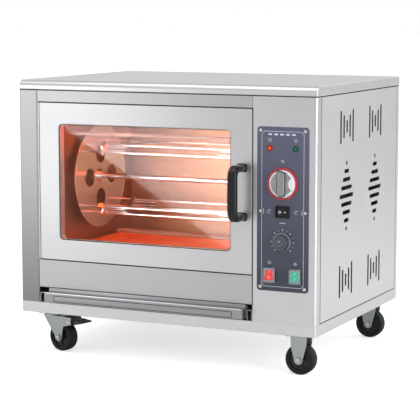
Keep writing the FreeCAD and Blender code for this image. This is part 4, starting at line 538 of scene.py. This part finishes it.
bright_steel = grained("polished_steel", (0.72, 0.70, 0.68), 0.20, (60, 60, 60), 0.10, 0.14, 0.03)
eased("carousel_shaft carousel_discs spits meat_forks", bright_steel, 0.0003)
gear_steel = grained("machined_gear_steel", (0.42, 0.42, 0.43), 0.35, (200, 200, 200), 0.15, 0.1, 0.05)
coat("drive_gear motor_pinion", gear_steel)
coat("shaft_bearings", grained("sintered_bronze", (0.50, 0.34, 0.16), 0.4, (300, 300, 300), 0.2, 0.1, 0.1))

# ---- control overlay ---------------------------------------------------------------------------
# Slate blue printed aluminium plate with a thin pale border that is cut back round its six screws.
# Marks are printed: graduations round the two knobs and plain signs, with no lettering.

overlay_low, overlay_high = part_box("control_overlay")
# The plate's colour runs darker towards the bottom.
overlay_paint = grained("slate_blue_print", (0.07, 0.07, 0.11), 0.38, (600, 600, 600), 0.08, 0.06, 0.05, 0.0)
rising_tone(overlay_paint, overlay_low.z, overlay_high.z, (0.038, 0.044, 0.066), (0.098, 0.104, 0.158))
eased("control_overlay", overlay_paint, 0.0003)
print_white = grained("pale_print", (0.62, 0.62, 0.72), 0.45, (500, 500, 500), 0.05, 0.05, 0.02, 0.0)


def printed_line(points, width, closed=False):
    """A thin printed line through (x, z) points on the overlay's face."""
    curve = bpy.data.curves.new("print_path", "CURVE")
    curve.dimensions = "3D"
    curve.bevel_depth, curve.bevel_resolution = width / 2, 1
    run = curve.splines.new("POLY")
    run.points.add(len(points) - 1)
    for point, (x, z) in zip(run.points, points):
        point.co = (x, 0, z, 1)
    run.use_cyclic_u = closed
    holder = bpy.data.objects.new("print_path", curve)
    mesh = bpy.data.meshes.new_from_object(holder)
    shape = bmesh.new()
    shape.from_mesh(mesh)
    bmesh.ops.scale(shape, vec=(1, 0.12, 1), verts=shape.verts)
    bmesh.ops.translate(shape, vec=(0, overlay_low.y, 0), verts=shape.verts)
    bpy.data.objects.remove(holder)
    bpy.data.curves.remove(curve)
    bpy.data.meshes.remove(mesh)
    return shape


def arc(x, z, radius, start, end, count=10):
    """Points on a circle, from one angle in degrees to another."""
    turns = [math.radians(start + (end - start) * i / count) for i in range(count + 1)]
    return [(x + radius * math.cos(turn), z + radius * math.sin(turn)) for turn in turns]


def middle_of(corners):
    """The middle between two corners, as x, y and z."""
    return [(low + high) / 2 for low, high in zip(*corners)]


border = 0.0105
left, right = overlay_low.x + border, overlay_high.x - border
low, high = overlay_low.z + border - 0.001, overlay_high.z - border + 0.001
cut = 0.0055
notch_z = middle_of(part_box("black_rocker"))[2]
border_points = [(left + cut, low), (right - cut, low), (right, low + cut), (right, notch_z - 0.0062)]
border_points += arc(right + 0.0015, notch_z, 0.0064, 255, 105)
border_points += [(right, high - cut), (right - cut, high), (left + cut, high), (left, high - cut)]
border_points += arc(left - 0.0015, notch_z, 0.0064, 75, -75)
border_points += [(left, low + cut)]
prints = [printed_line(border_points, 0.0011, True)]

knob_low, knob_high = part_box("thermostat_knob")
timer_low, timer_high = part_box("timer_knob")
control_x, _, dial_z = middle_of((knob_low, knob_high))
timer_z = middle_of((timer_low, timer_high))[2]
for index in range(13):
    turn = math.radians(225 - 22.5 * index)
    inner = 0.0234 if index % 2 else 0.0228
    outer = 0.0254 if index % 2 else 0.0262
    ends = [(control_x + reach * math.cos(turn), timer_z + reach * math.sin(turn))
            for reach in (inner, outer)]
    prints.append(printed_line(ends, 0.0014 if index % 2 else 0.0018))

sign_stroke = 0.0009


def power_sign(x, z, size):
    return [printed_line(arc(x, z, size, 125, 415, 20), sign_stroke),
            printed_line([(x, z + size * 0.2), (x, z + size * 1.3)], sign_stroke)]


def heat_sign(x, z, size):
    waves = []
    for shift in (-1, 0, 1):
        points = [(x + size * (0.8 * shift + 0.25 * math.sin(step * 0.7)), z + size * (step / 5 - 1))
                  for step in range(11)]
        waves.append(printed_line(points, sign_stroke))
    return waves


def turn_sign(x, z, size):
    return [printed_line(arc(x, z, size, 30, 300, 20), sign_stroke),
            printed_line([(x + size * 0.45, z + size * 0.55), (x + size * 0.87, z + size * 0.5),
                          (x + size * 1.1, z + size * 0.95)], sign_stroke)]


def lamp_sign(x, z, size):
    rays = [printed_line(arc(x, z, size * 0.55, 0, 360, 16), sign_stroke)]
    for index in range(8):
        turn = math.radians(45 * index)
        ends = [(x + size * r * math.cos(turn), z + size * r * math.sin(turn)) for r in (0.8, 1.15)]
        rays.append(printed_line(ends, 0.0008))
    return rays


red_x, _, rocker_z = middle_of(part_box("red_rocker"))
green_x = middle_of(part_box("green_rocker"))[0]
lamp_z = middle_of(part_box("red_indicator"))[2]
prints += power_sign(red_x, rocker_z + 0.026, 0.0030) + lamp_sign(green_x, rocker_z + 0.026, 0.0034)
prints += heat_sign(red_x, lamp_z + 0.017, 0.0034) + power_sign(green_x, lamp_z + 0.017, 0.0030)
prints += turn_sign(control_x - 0.030, notch_z, 0.0034) + turn_sign(control_x + 0.030, notch_z, 0.0034)
prints += heat_sign(control_x, dial_z + 0.0455, 0.0030)
for index in range(5):
    prints.append(printed_line([(control_x - 0.032 + 0.013 * index, lamp_z + 0.0285),
                                (control_x - 0.024 + 0.013 * index, lamp_z + 0.0285)], 0.0042))
prints.append(printed_line([(control_x - 0.007, timer_z + 0.039), (control_x + 0.007, timer_z + 0.039)],
                           0.0014))
finished("overlay_prints", gathered(*prints), print_white, "cabinet")

# ---- thermostat knob ---------------------------------------------------------------------------
# White moulded dial with a red ring, and a silver grip: a flattened round boss crossed by a bar
# that is pointed at the top and round at the bottom.

dial_r = (knob_high.x - knob_low.x) / 2
knob_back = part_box("control_overlay")[0].y - 0.0005
even_grain = (300, 300, 300)
white_gloss = grained("white_gloss_moulding", (0.82, 0.82, 0.83), 0.20, even_grain, 0.03, 0.04, 0.02, 0.0,
                      Coat_Weight=0.3)
red_gloss = grained("red_gloss_moulding", (0.50, 0.03, 0.045), 0.25, even_grain, 0.05, 0.04, 0.02, 0.0)
silver_paint = grained("silver_painted_moulding", (0.30, 0.30, 0.305), 0.34, (250, 250, 250),
                       0.06, 0.06, 0.04, 0.6)
grip_groove_shade = grained("grip_groove_painted_shade", (0.05, 0.05, 0.055), 0.5, even_grain, 0.05, 0.05, 0.02, 0.0)
spindle = knob_high.y - knob_back
dial = turned([(0, -spindle), (0.003, -spindle), (0.003, 0), (dial_r * 0.86, 0), (dial_r * 0.86, 0.0030),
               (dial_r * 0.84, 0.0042), (dial_r * 0.5, 0.0050), (0, 0.0050)])
red_ring = turned([(dial_r * 0.895, 0.0002), (dial_r, 0.0002), (dial_r, 0.0022), (dial_r * 0.98, 0.0032),
                   (dial_r * 0.91, 0.0036), (dial_r * 0.895, 0.0032), (dial_r * 0.895, 0.0002)])


def raised_plate(outline, bottom, top, rim):
    """A flat outline raised into a plate with an eased top rim."""
    shape = bmesh.new()
    face = shape.faces.new([shape.verts.new((x, y, bottom)) for x, y in outline])
    raised = bmesh.ops.extrude_face_region(shape, geom=[face])["geom"]
    bmesh.ops.translate(shape, vec=(0, 0, top - bottom),
                        verts=[part for part in raised if isinstance(part, bmesh.types.BMVert)])
    bmesh.ops.recalc_face_normals(shape, faces=shape.faces)
    edges = [e for e in shape.edges if min(v.co.z for v in e.verts) > top - 1e-5]
    bmesh.ops.bevel(shape, geom=edges, offset=rim, offset_type="OFFSET", segments=3, profile=0.5,
                    affect="EDGES", material=-1)
    return shape


dial_face = 0.004
boss_outline = arc(0, 0, dial_r * 0.70, 32, 328, 40) + arc(dial_r * 0.86, 0, dial_r * 0.44, 236, 124, 12)
boss = raised_plate(boss_outline, dial_face, 0.0086, 0.0014)


def grip_outline(half_width, tip, tail):
    """Pointed on the side towards +Y, with a slanted tip, and round at the tail."""
    return ([(-half_width, tip)] + arc(0, half_width - tail, half_width, 180, 360, 12)
            + [(half_width, tip * 0.84)])


# Painted shade: a near-black plate round the foot of the grip bar stands in for the shade in the groove
# there.
groove = raised_plate(grip_outline(0.0100, dial_r * 0.84, dial_r * 0.82), dial_face, 0.0090, 0.0002)
bar = raised_plate(grip_outline(0.0078, dial_r * 0.79, dial_r * 0.755), dial_face, 0.0122, 0.0016)
marks = []
for index in range(9):
    turn = math.radians(90 + 30 * index)
    spot = (dial_r * 0.82 * math.cos(turn), dial_r * 0.82 * math.sin(turn), 0.0045)
    marks.append((3, placed(slab(0.0028, 0.0006, 0.0003), spot, Matrix.Rotation(turn, 3, "Z"))))
knob = gathered(dial, (1, red_ring), (2, boss), (3, groove), (2, bar), *marks)
placed(knob, (control_x, knob_back, dial_z), to_front)
finished("thermostat_dial_and_grip", knob, [white_gloss, red_gloss, silver_paint, grip_groove_shade],
         "thermostat_dial", ("thermostat_knob",))

# ---- timer knob --------------------------------------------------------------------------------
# Black moulded knob: a skirt with printed graduations, a fluted grip and a ringed cap with a
# pointer line.

charcoal = grained("charcoal_moulding", (0.060, 0.068, 0.084), 0.36, (350, 350, 350), 0.06, 0.06, 0.03, 0.0)
timer_r = (timer_high.x - timer_low.x) / 2
skirt = turned([(0, -spindle), (0.003, -spindle), (0.003, 0), (timer_r, 0), (timer_r, 0.0028),
                (timer_r - 0.0012, 0.0040), (timer_r * 0.74, 0.0052), (0, 0.0052)])
grip = turned([(0, 0.005), (timer_r * 0.72, 0.005), (timer_r * 0.70, 0.0150), (timer_r * 0.66, 0.0168),
               (timer_r * 0.58, 0.0172), (timer_r * 0.54, 0.0162), (timer_r * 0.34, 0.0162),
               (timer_r * 0.32, 0.0172), (timer_r * 0.26, 0.0178), (0, 0.0180)], 96)


def fluted(shape, inner, low, high, count, depth):
    """Press flutes into the part of a turned grip that lies past a radius, between two heights."""
    for vert in shape.verts:
        if math.hypot(vert.co.x, vert.co.y) > inner and low < vert.co.z < high:
            scale = 1 + depth * math.cos(count * math.atan2(vert.co.y, vert.co.x))
            vert.co.x *= scale
            vert.co.y *= scale


fluted(grip, timer_r * 0.60, 0.0052, 0.0165, 24, 0.035)
cap_ring = turned([(timer_r * 0.30, 0.0170), (timer_r * 0.345, 0.0170), (timer_r * 0.345, 0.0179),
                   (timer_r * 0.30, 0.0181), (timer_r * 0.30, 0.0170)])
grip_ring = turned([(timer_r * 0.60, 0.0165), (timer_r * 0.635, 0.0165), (timer_r * 0.635, 0.0172),
                    (timer_r * 0.60, 0.0174), (timer_r * 0.60, 0.0165)])
line = slab(0.0012, timer_r * 0.16, 0.0006)
placed(line, (0, timer_r * 0.13, 0.0181))
dashes = []
for index in range(28):
    turn = math.radians(-40 + 260 * index / 27)
    spot = (timer_r * 0.86 * math.cos(turn), timer_r * 0.86 * math.sin(turn), 0.0048)
    dashes.append((1, placed(slab(0.0024, 0.0007, 0.0004), spot, Matrix.Rotation(turn, 3, "Z"))))
knob = gathered(skirt, grip, (2, cap_ring), (2, grip_ring), (1, line), *dashes)
placed(knob, (control_x, knob_back, timer_z), to_front)
# Grey rings on the rims of the grip and of the cap.
ring_grey = grained("grey_rim_rings", (0.17, 0.18, 0.21), 0.4, even_grain, 0.05, 0.05, 0.02, 0.0)
finished("timer_knob_moulding", knob, [charcoal, print_white, ring_grey], "timer_dial",
         ("timer_knob",))

# ---- rocker switches ---------------------------------------------------------------------------
# Black housings with a rounded bezel. The red and the green rocker are translucent and lit from
# behind under clear splash covers; the black one lies on its side.

eased("switch_housings", black_gloss, 0.0003)


def lit_plastic(name, color, glow, strength):
    """Moulded plastic with a light behind it."""
    return grained(name, color, 0.22, even_grain, 0.05, 0.06, 0.02, 0.0, Emission_Color=(*glow, 1),
                   Emission_Strength=strength)


rocker_red = lit_plastic("red_lit_rocker", (0.70, 0.02, 0.02), (1.0, 0.03, 0.02), 0.5)
rocker_green = lit_plastic("green_lit_rocker", (0.02, 0.42, 0.28), (0.03, 0.60, 0.38), 0.35)
eased("red_rocker", rocker_red, 0.0004)
eased("green_rocker", rocker_green, 0.0004)
eased("black_rocker", black_gloss, 0.0004)
mark_white = grained("white_mark", (0.85, 0.85, 0.85), 0.4, even_grain, 0.02, 0.02, 0.0, 0.0)
face_slope = math.atan2(2.2, 10.8)
tilt = math.radians(-9)
mark_reach, mark_rise = 0.00655, 0.0056
for body, joint_name, roll in (("red_switch", "red_rocker_tip", 0), ("green_switch", "green_rocker_tip", 0),
                               ("black_switch", "black_rocker_tip", 90)):
    joint = next(item for item in frame["joints"] if item["name"] == joint_name)
    turn = Matrix.Rotation(math.radians(roll), 4, "Y") @ Matrix.Rotation(tilt, 4, "X")
    stroke = slab(0.0012, 0.0050, 0.0003)
    placed(stroke, (0, -mark_reach, mark_rise), Matrix.Rotation(face_slope, 3, "X") @ to_front)
    zero = turned([(0.0019, -0.00015), (0.0028, -0.00015), (0.0028, 0.00015), (0.0019, 0.00015),
                   (0.0019, -0.00015)], 28)
    placed(zero, (0, -mark_reach, -mark_rise), Matrix.Rotation(-face_slope, 3, "X") @ to_front)
    marks = gathered(stroke, zero)
    bmesh.ops.transform(marks, matrix=Matrix.Translation(joint["pos_m"]) @ turn, verts=marks.verts)
    finished(f"{body}_marks", marks, mark_white, body)

cover_clear, _, cover_shader = new_material("clear_splash_cover")
set_sockets(cover_shader, Base_Color=(0.93, 0.95, 0.95, 1), Roughness=0.12, IOR=1.3, Transmission_Weight=1.0)
pale_bezel = grained("pale_bezel_skin", (0.42, 0.44, 0.46), 0.22, even_grain, 0.05, 0.06, 0.02, 0.0)
ring_half = 7.78  # mm, half the width of the four-sided ring before it is stretched
for name, x in (("red", red_x), ("green", green_x)):
    cover = slab(0.0262, 0.0322, 0.0108, 0.0045, 0.0032)
    placed(cover, (x, overlay_low.y - 0.0055, rocker_z), to_front)
    inner = slab(0.0242, 0.0302, 0.0100, 0.0038, 0.0028)
    placed(inner, (x, overlay_low.y - 0.0049, rocker_z), to_front)
    bmesh.ops.reverse_faces(inner, faces=inner.faces)
    frame_ring = turned([(0.0068, -0.0030), (0.0110, -0.0030), (0.0110, -0.0006), (0.0100, 0.0004),
                         (0.0080, 0.0), (0.0068, -0.0012), (0.0068, -0.0030)], 4)
    bmesh.ops.rotate(frame_ring, matrix=Matrix.Rotation(math.radians(45), 3, "Z"), verts=frame_ring.verts)
    bmesh.ops.scale(frame_ring, vec=(12.5 / ring_half, 15.5 / ring_half, 1), verts=frame_ring.verts)
    placed(frame_ring, (x, overlay_low.y - 0.0033, rocker_z), to_front)
    finished(f"{name}_bezel_skin", frame_ring, pale_bezel, "cabinet")
    finished(f"{name}_splash_cover", gathered(cover, inner), cover_clear, "cabinet")

# ---- indicator lamps ---------------------------------------------------------------------------
# Small neon lamps with a coloured flange and a domed lens that is brightest in the middle.

for name, dark, bright, glow, strength in (
        ("red_indicator", (0.25, 0.012, 0.008), (0.60, 0.06, 0.01), (1.0, 0.12, 0.01), 0.35),
        ("green_indicator", (0.0, 0.055, 0.035), (0.0, 0.11, 0.065), (0.0, 0.30, 0.16), 0.08)):
    low_corner, high_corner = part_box(name)
    x = (low_corner.x + high_corner.x) / 2
    r = (high_corner.x - low_corner.x) / 2
    flange = turned([(0, -0.018), (0.005, -0.018), (0.005, 0), (r, 0), (r, 0.0014), (r - 0.0008, 0.0021),
                     (r * 0.72, 0.0024), (r * 0.66, 0.0016), (0, 0.0016)])
    lens = turned([(0, 0.001), (r * 0.52, 0.001), (r * 0.50, 0.0030), (r * 0.42, 0.0046), (r * 0.25, 0.0058),
                   (0, 0.0062)])
    shape = gathered(flange, (1, lens))
    placed(shape, (x, overlay_low.y, lamp_z), to_front)
    plastics = [lit_plastic(f"{name}_flange", dark, glow, 0.02),
                lit_plastic(f"{name}_lens", bright, glow, strength)]
    finished(f"{name}_lamp", shape, plastics, "cabinet", (name,))

# ---- casters -----------------------------------------------------------------------------------
# Zinc plated pressed forks with stiffening beads, black rubber wheels on 8 mm axle bolts, and black
# moulded brake pedals on the two swivelling ones.

zinc = grained("zinc_plate", (0.40, 0.43, 0.42), 0.38, (120, 120, 120), 0.14, 0.20, 0.06)
eased("swivel_plates right_caster_forks left_front_fork left_rear_fork", zinc, 0.0003)
rubber = grained("black_rubber_tyre", (0.006, 0.007, 0.007), 0.60, (240, 240, 240), 0.12, 0.20, 0.15, 0.0,
                 Specular_IOR_Level=0.3)
hub_plastic = grained("black_hub_moulding", (0.009, 0.010, 0.010), 0.42, even_grain, 0.08, 0.10, 0.05, 0.0,
                      Specular_IOR_Level=0.35)
pedal_black = grained("black_pedal_moulding", (0.014, 0.015, 0.015), 0.42, (260, 260, 260),
                      0.1, 0.1, 0.12, 0.0)
eased("left_front_pedal left_rear_pedal", pedal_black, 0.0006)

for joint in frame["joints"]:
    if "wheel" not in joint["name"]:
        continue
    node = frame["record"]["behaviour"]["bodies"][joint["child"]][0]
    radius, half = 0.0325, 0.013
    tyre = turned([(0.0245, -half + 0.0012), (0.0262, -half), (0.0292, -half), (0.0312, -half + 0.0015),
                   (0.0322, -half + 0.0042), (radius, -0.0045), (radius, 0.0045), (0.0322, half - 0.0042),
                   (0.0312, half - 0.0015), (0.0292, half), (0.0262, half), (0.0245, half - 0.0012),
                   (0.0245, -half + 0.0012)], 72)
    bore = 0.0041
    hub = turned([(bore, -half), (0.0078, -half), (0.0088, -half + 0.0008), (0.0090, -half + 0.0042),
                  (0.0220, -half + 0.0042), (0.0232, -half + 0.0010), (0.0247, -half + 0.0010),
                  (0.0247, half - 0.0010), (0.0232, half - 0.0010), (0.0220, half - 0.0042),
                  (0.0090, half - 0.0042), (0.0088, half - 0.0008), (0.0078, half), (bore, half),
                  (bore, -half)], 64)
    ribs = []
    for index in range(6):
        rib = slab(0.0145, 0.0022, half * 2 - 0.0040)
        turn = Matrix.Rotation(math.radians(60 * index), 3, "Z")
        ribs.append((1, placed(rib, turn @ Vector((0.0155, 0, 0)), turn)))
    shape = gathered(tyre, (1, hub), *ribs)
    turn = Vector((0, 0, 1)).rotation_difference(Vector(joint["axis"])).to_matrix()
    placed(shape, joint["pos_m"], turn)
    finished(f"{node}_tyre_and_hub", shape, [rubber, hub_plastic], joint["child"], (node,))

bead_height = 0.0665
fork_beads = []
for joint in frame["joints"]:
    if "right_wheel" not in joint["name"]:
        continue
    x, y, z = joint["pos_m"]
    for side, turn in ((-1, to_front), (1, to_back)):
        for shift in (-0.0125, 0.0125):
            bead = slab(0.0026, 0.030, 0.0012, 0.0012, 0.0008)
            lean = Matrix.Rotation(math.radians(-7 if shift * side > 0 else 7), 3, "Z")
            placed(bead, (x + shift, y + 0.0175 * side + 0.0003 * side, bead_height), turn @ lean)
            fork_beads.append(bead)
finished("rigid_fork_beads", gathered(*fork_beads), zinc, "cabinet")

axle_zinc = grained("bright_zinc_nuts", (0.60, 0.62, 0.60), 0.25, (200, 200, 200), 0.10, 0.12, 0.04)
nut_profile = [(0, 0.0170), (0.0062, 0.0170), (0.0062, 0.0196), (0.0055, 0.0204), (0, 0.0204)]
bolt_profile = [(0, 0.0200), (0.0036, 0.0200), (0.0034, 0.0214), (0.0022, 0.0222), (0, 0.0224)]
rivet_profile = [(0, 0.0170), (0.0040, 0.0170), (0.0038, 0.0186), (0.0024, 0.0196), (0, 0.0199)]
for joint in frame["joints"]:
    if "wheel" not in joint["name"] and "brake" not in joint["name"]:
        continue
    turn = Vector((0, 0, 1)).rotation_difference(Vector(joint["axis"])).to_matrix()
    ends = []
    for side in (turn, turn @ to_floor):
        if "wheel" in joint["name"]:
            end = gathered(turned(nut_profile, 6), turned(bolt_profile, 24))
        else:
            end = turned(rivet_profile, 24)
        ends.append(placed(end, joint["pos_m"], side))
    finished(f"{joint['name']}_ends", gathered(*ends), axle_zinc, joint["parent"])

# ---- fasteners ---------------------------------------------------------------------------------
# Nickel plated pan-head screws with a cross recess in the sheets, and dome-head bolts under the
# caster plates.

nickel = grained("nickel_plate", (0.62, 0.60, 0.58), 0.22, (200, 200, 200), 0.08, 0.10, 0.03)


def solids_of(node):
    """The lowest and highest corner of each separate solid of a CAD part."""
    shape = bmesh.new()
    shape.from_mesh(frame["nodes"][node].data)
    bmesh.ops.remove_doubles(shape, verts=shape.verts, dist=same_point)
    left_over = set(shape.verts)
    corners = []
    while left_over:
        reached = [left_over.pop()]
        island = []
        while reached:
            vert = reached.pop()
            island.append(vert.co.copy())
            for edge in vert.link_edges:
                other = edge.other_vert(vert)
                if other in left_over:
                    left_over.remove(other)
                    reached.append(other)
        corners.append(tuple(Vector(pick(co[axis] for co in island) for axis in range(3))
                             for pick in (min, max)))
    shape.free()
    return sorted(corners, key=lambda pair: tuple(pair[0]))


def cut_cross(head, size, top):
    """Cut a cross recess into a screw head."""
    blank = bpy.data.meshes.new("screw_blank")
    head.to_mesh(blank)
    head.free()
    cross = gathered(*(placed(slab(size, size * 0.26, 0.0016), (0, 0, top),
                              Matrix.Rotation(math.radians(turn + 20), 3, "Z")) for turn in (0, 90)))
    cutter_mesh = bpy.data.meshes.new("cross_cutter")
    cross.to_mesh(cutter_mesh)
    cross.free()
    holder = bpy.data.objects.new("screw_blank", blank)
    cutter = bpy.data.objects.new("cross_cutter", cutter_mesh)
    for thing in (holder, cutter):
        bpy.context.scene.collection.objects.link(thing)
    boolean = holder.modifiers.new("cross", "BOOLEAN")
    boolean.operation, boolean.object, boolean.solver = "DIFFERENCE", cutter, "EXACT"
    boolean.use_self = True
    bpy.context.view_layer.update()
    result = bpy.data.meshes.new_from_object(holder.evaluated_get(bpy.context.evaluated_depsgraph_get()))
    bpy.data.objects.remove(holder)
    bpy.data.objects.remove(cutter)
    return result


pan_mesh = cut_cross(turned([(0, -0.004), (0.0019, -0.004), (0.0019, 0), (0.0038, 0), (0.0038, 0.0009),
                             (0.0034, 0.0017), (0.0026, 0.0022), (0, 0.0024)], 28), 0.0042, 0.0026)
dome = [(0, -0.004), (0.003, -0.004), (0.003, 0), (0.0052, 0), (0.0052, 0.0007), (0.0044, 0.0017),
        (0.0028, 0.0023), (0, 0.0025)]
front_face, back_face = overlay_low.y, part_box("back_panel")[1].y
heads = []
for low_corner, high_corner in solids_of("screws"):
    middle_point = (low_corner + high_corner) / 2
    if low_corner.y < front_face:
        spot, turn = (middle_point.x, front_face, middle_point.z), to_front
    elif high_corner.y > back_face:
        spot, turn = (middle_point.x, back_face, middle_point.z), to_back
    else:
        under = (middle_point.x, middle_point.y, low_corner.z + 0.0025)
        heads.append(placed(turned(dome, 24), under, to_floor))
        continue
    head = bmesh.new()
    head.from_mesh(pan_mesh)
    heads.append(placed(head, spot, turn))
finished("screw_and_bolt_heads", gathered(*heads), nickel, "cabinet", ("screws",))

# ---- instruments, terminals and cable gland ----------------------------------------------------
# Pressed thermostat and timer cases, a beige terminal strip and a catch magnet inside, and a black
# nylon gland with a hexagon and a fluted dome nut at the back.

case_steel = grained("instrument_case_steel", (0.45, 0.45, 0.46), 0.4, (150, 150, 150), 0.1, 0.1, 0.05)
coat("thermostat_body timer_body", case_steel)
beige = grained("beige_moulding", (0.72, 0.66, 0.50), 0.5, even_grain, 0.05, 0.05, 0.05, 0.0)
coat("terminal_block", beige)
coat("magnet_catch", pedal_black)
gland_low, gland_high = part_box("cable_gland")
gland_x, _, gland_z = middle_of((gland_low, gland_high))
gland_bore = 0.0046
reach = gland_high.y - back_face
inside = back_face - gland_low.y
nut = turned([(gland_bore, 0.001), (0.0128, 0.001), (0.0146, 0.0), (0.0146, 0.0045), (0.0130, 0.0052),
              (gland_bore, 0.0052), (gland_bore, 0.001)], 6)
dome_nut = turned([(gland_bore, 0.005), (0.0118, 0.005), (0.0118, 0.0130), (0.0108, 0.0162),
                   (0.0086, reach - 0.0006), (0.0078, reach), (gland_bore, reach), (gland_bore, 0.005)], 72)
fluted(dome_nut, 0.0110, 0.0042, reach, 12, 0.03)
thread = turned([(gland_bore, -inside), (0.0092, -inside), (0.0092, 0.002), (gland_bore, 0.002),
                 (gland_bore, -inside)], 40)
shape = gathered(nut, dome_nut, thread)
placed(shape, (gland_x, back_face, gland_z), to_back)
finished("nylon_gland", shape, pedal_black, "cabinet", ("cable_gland",))
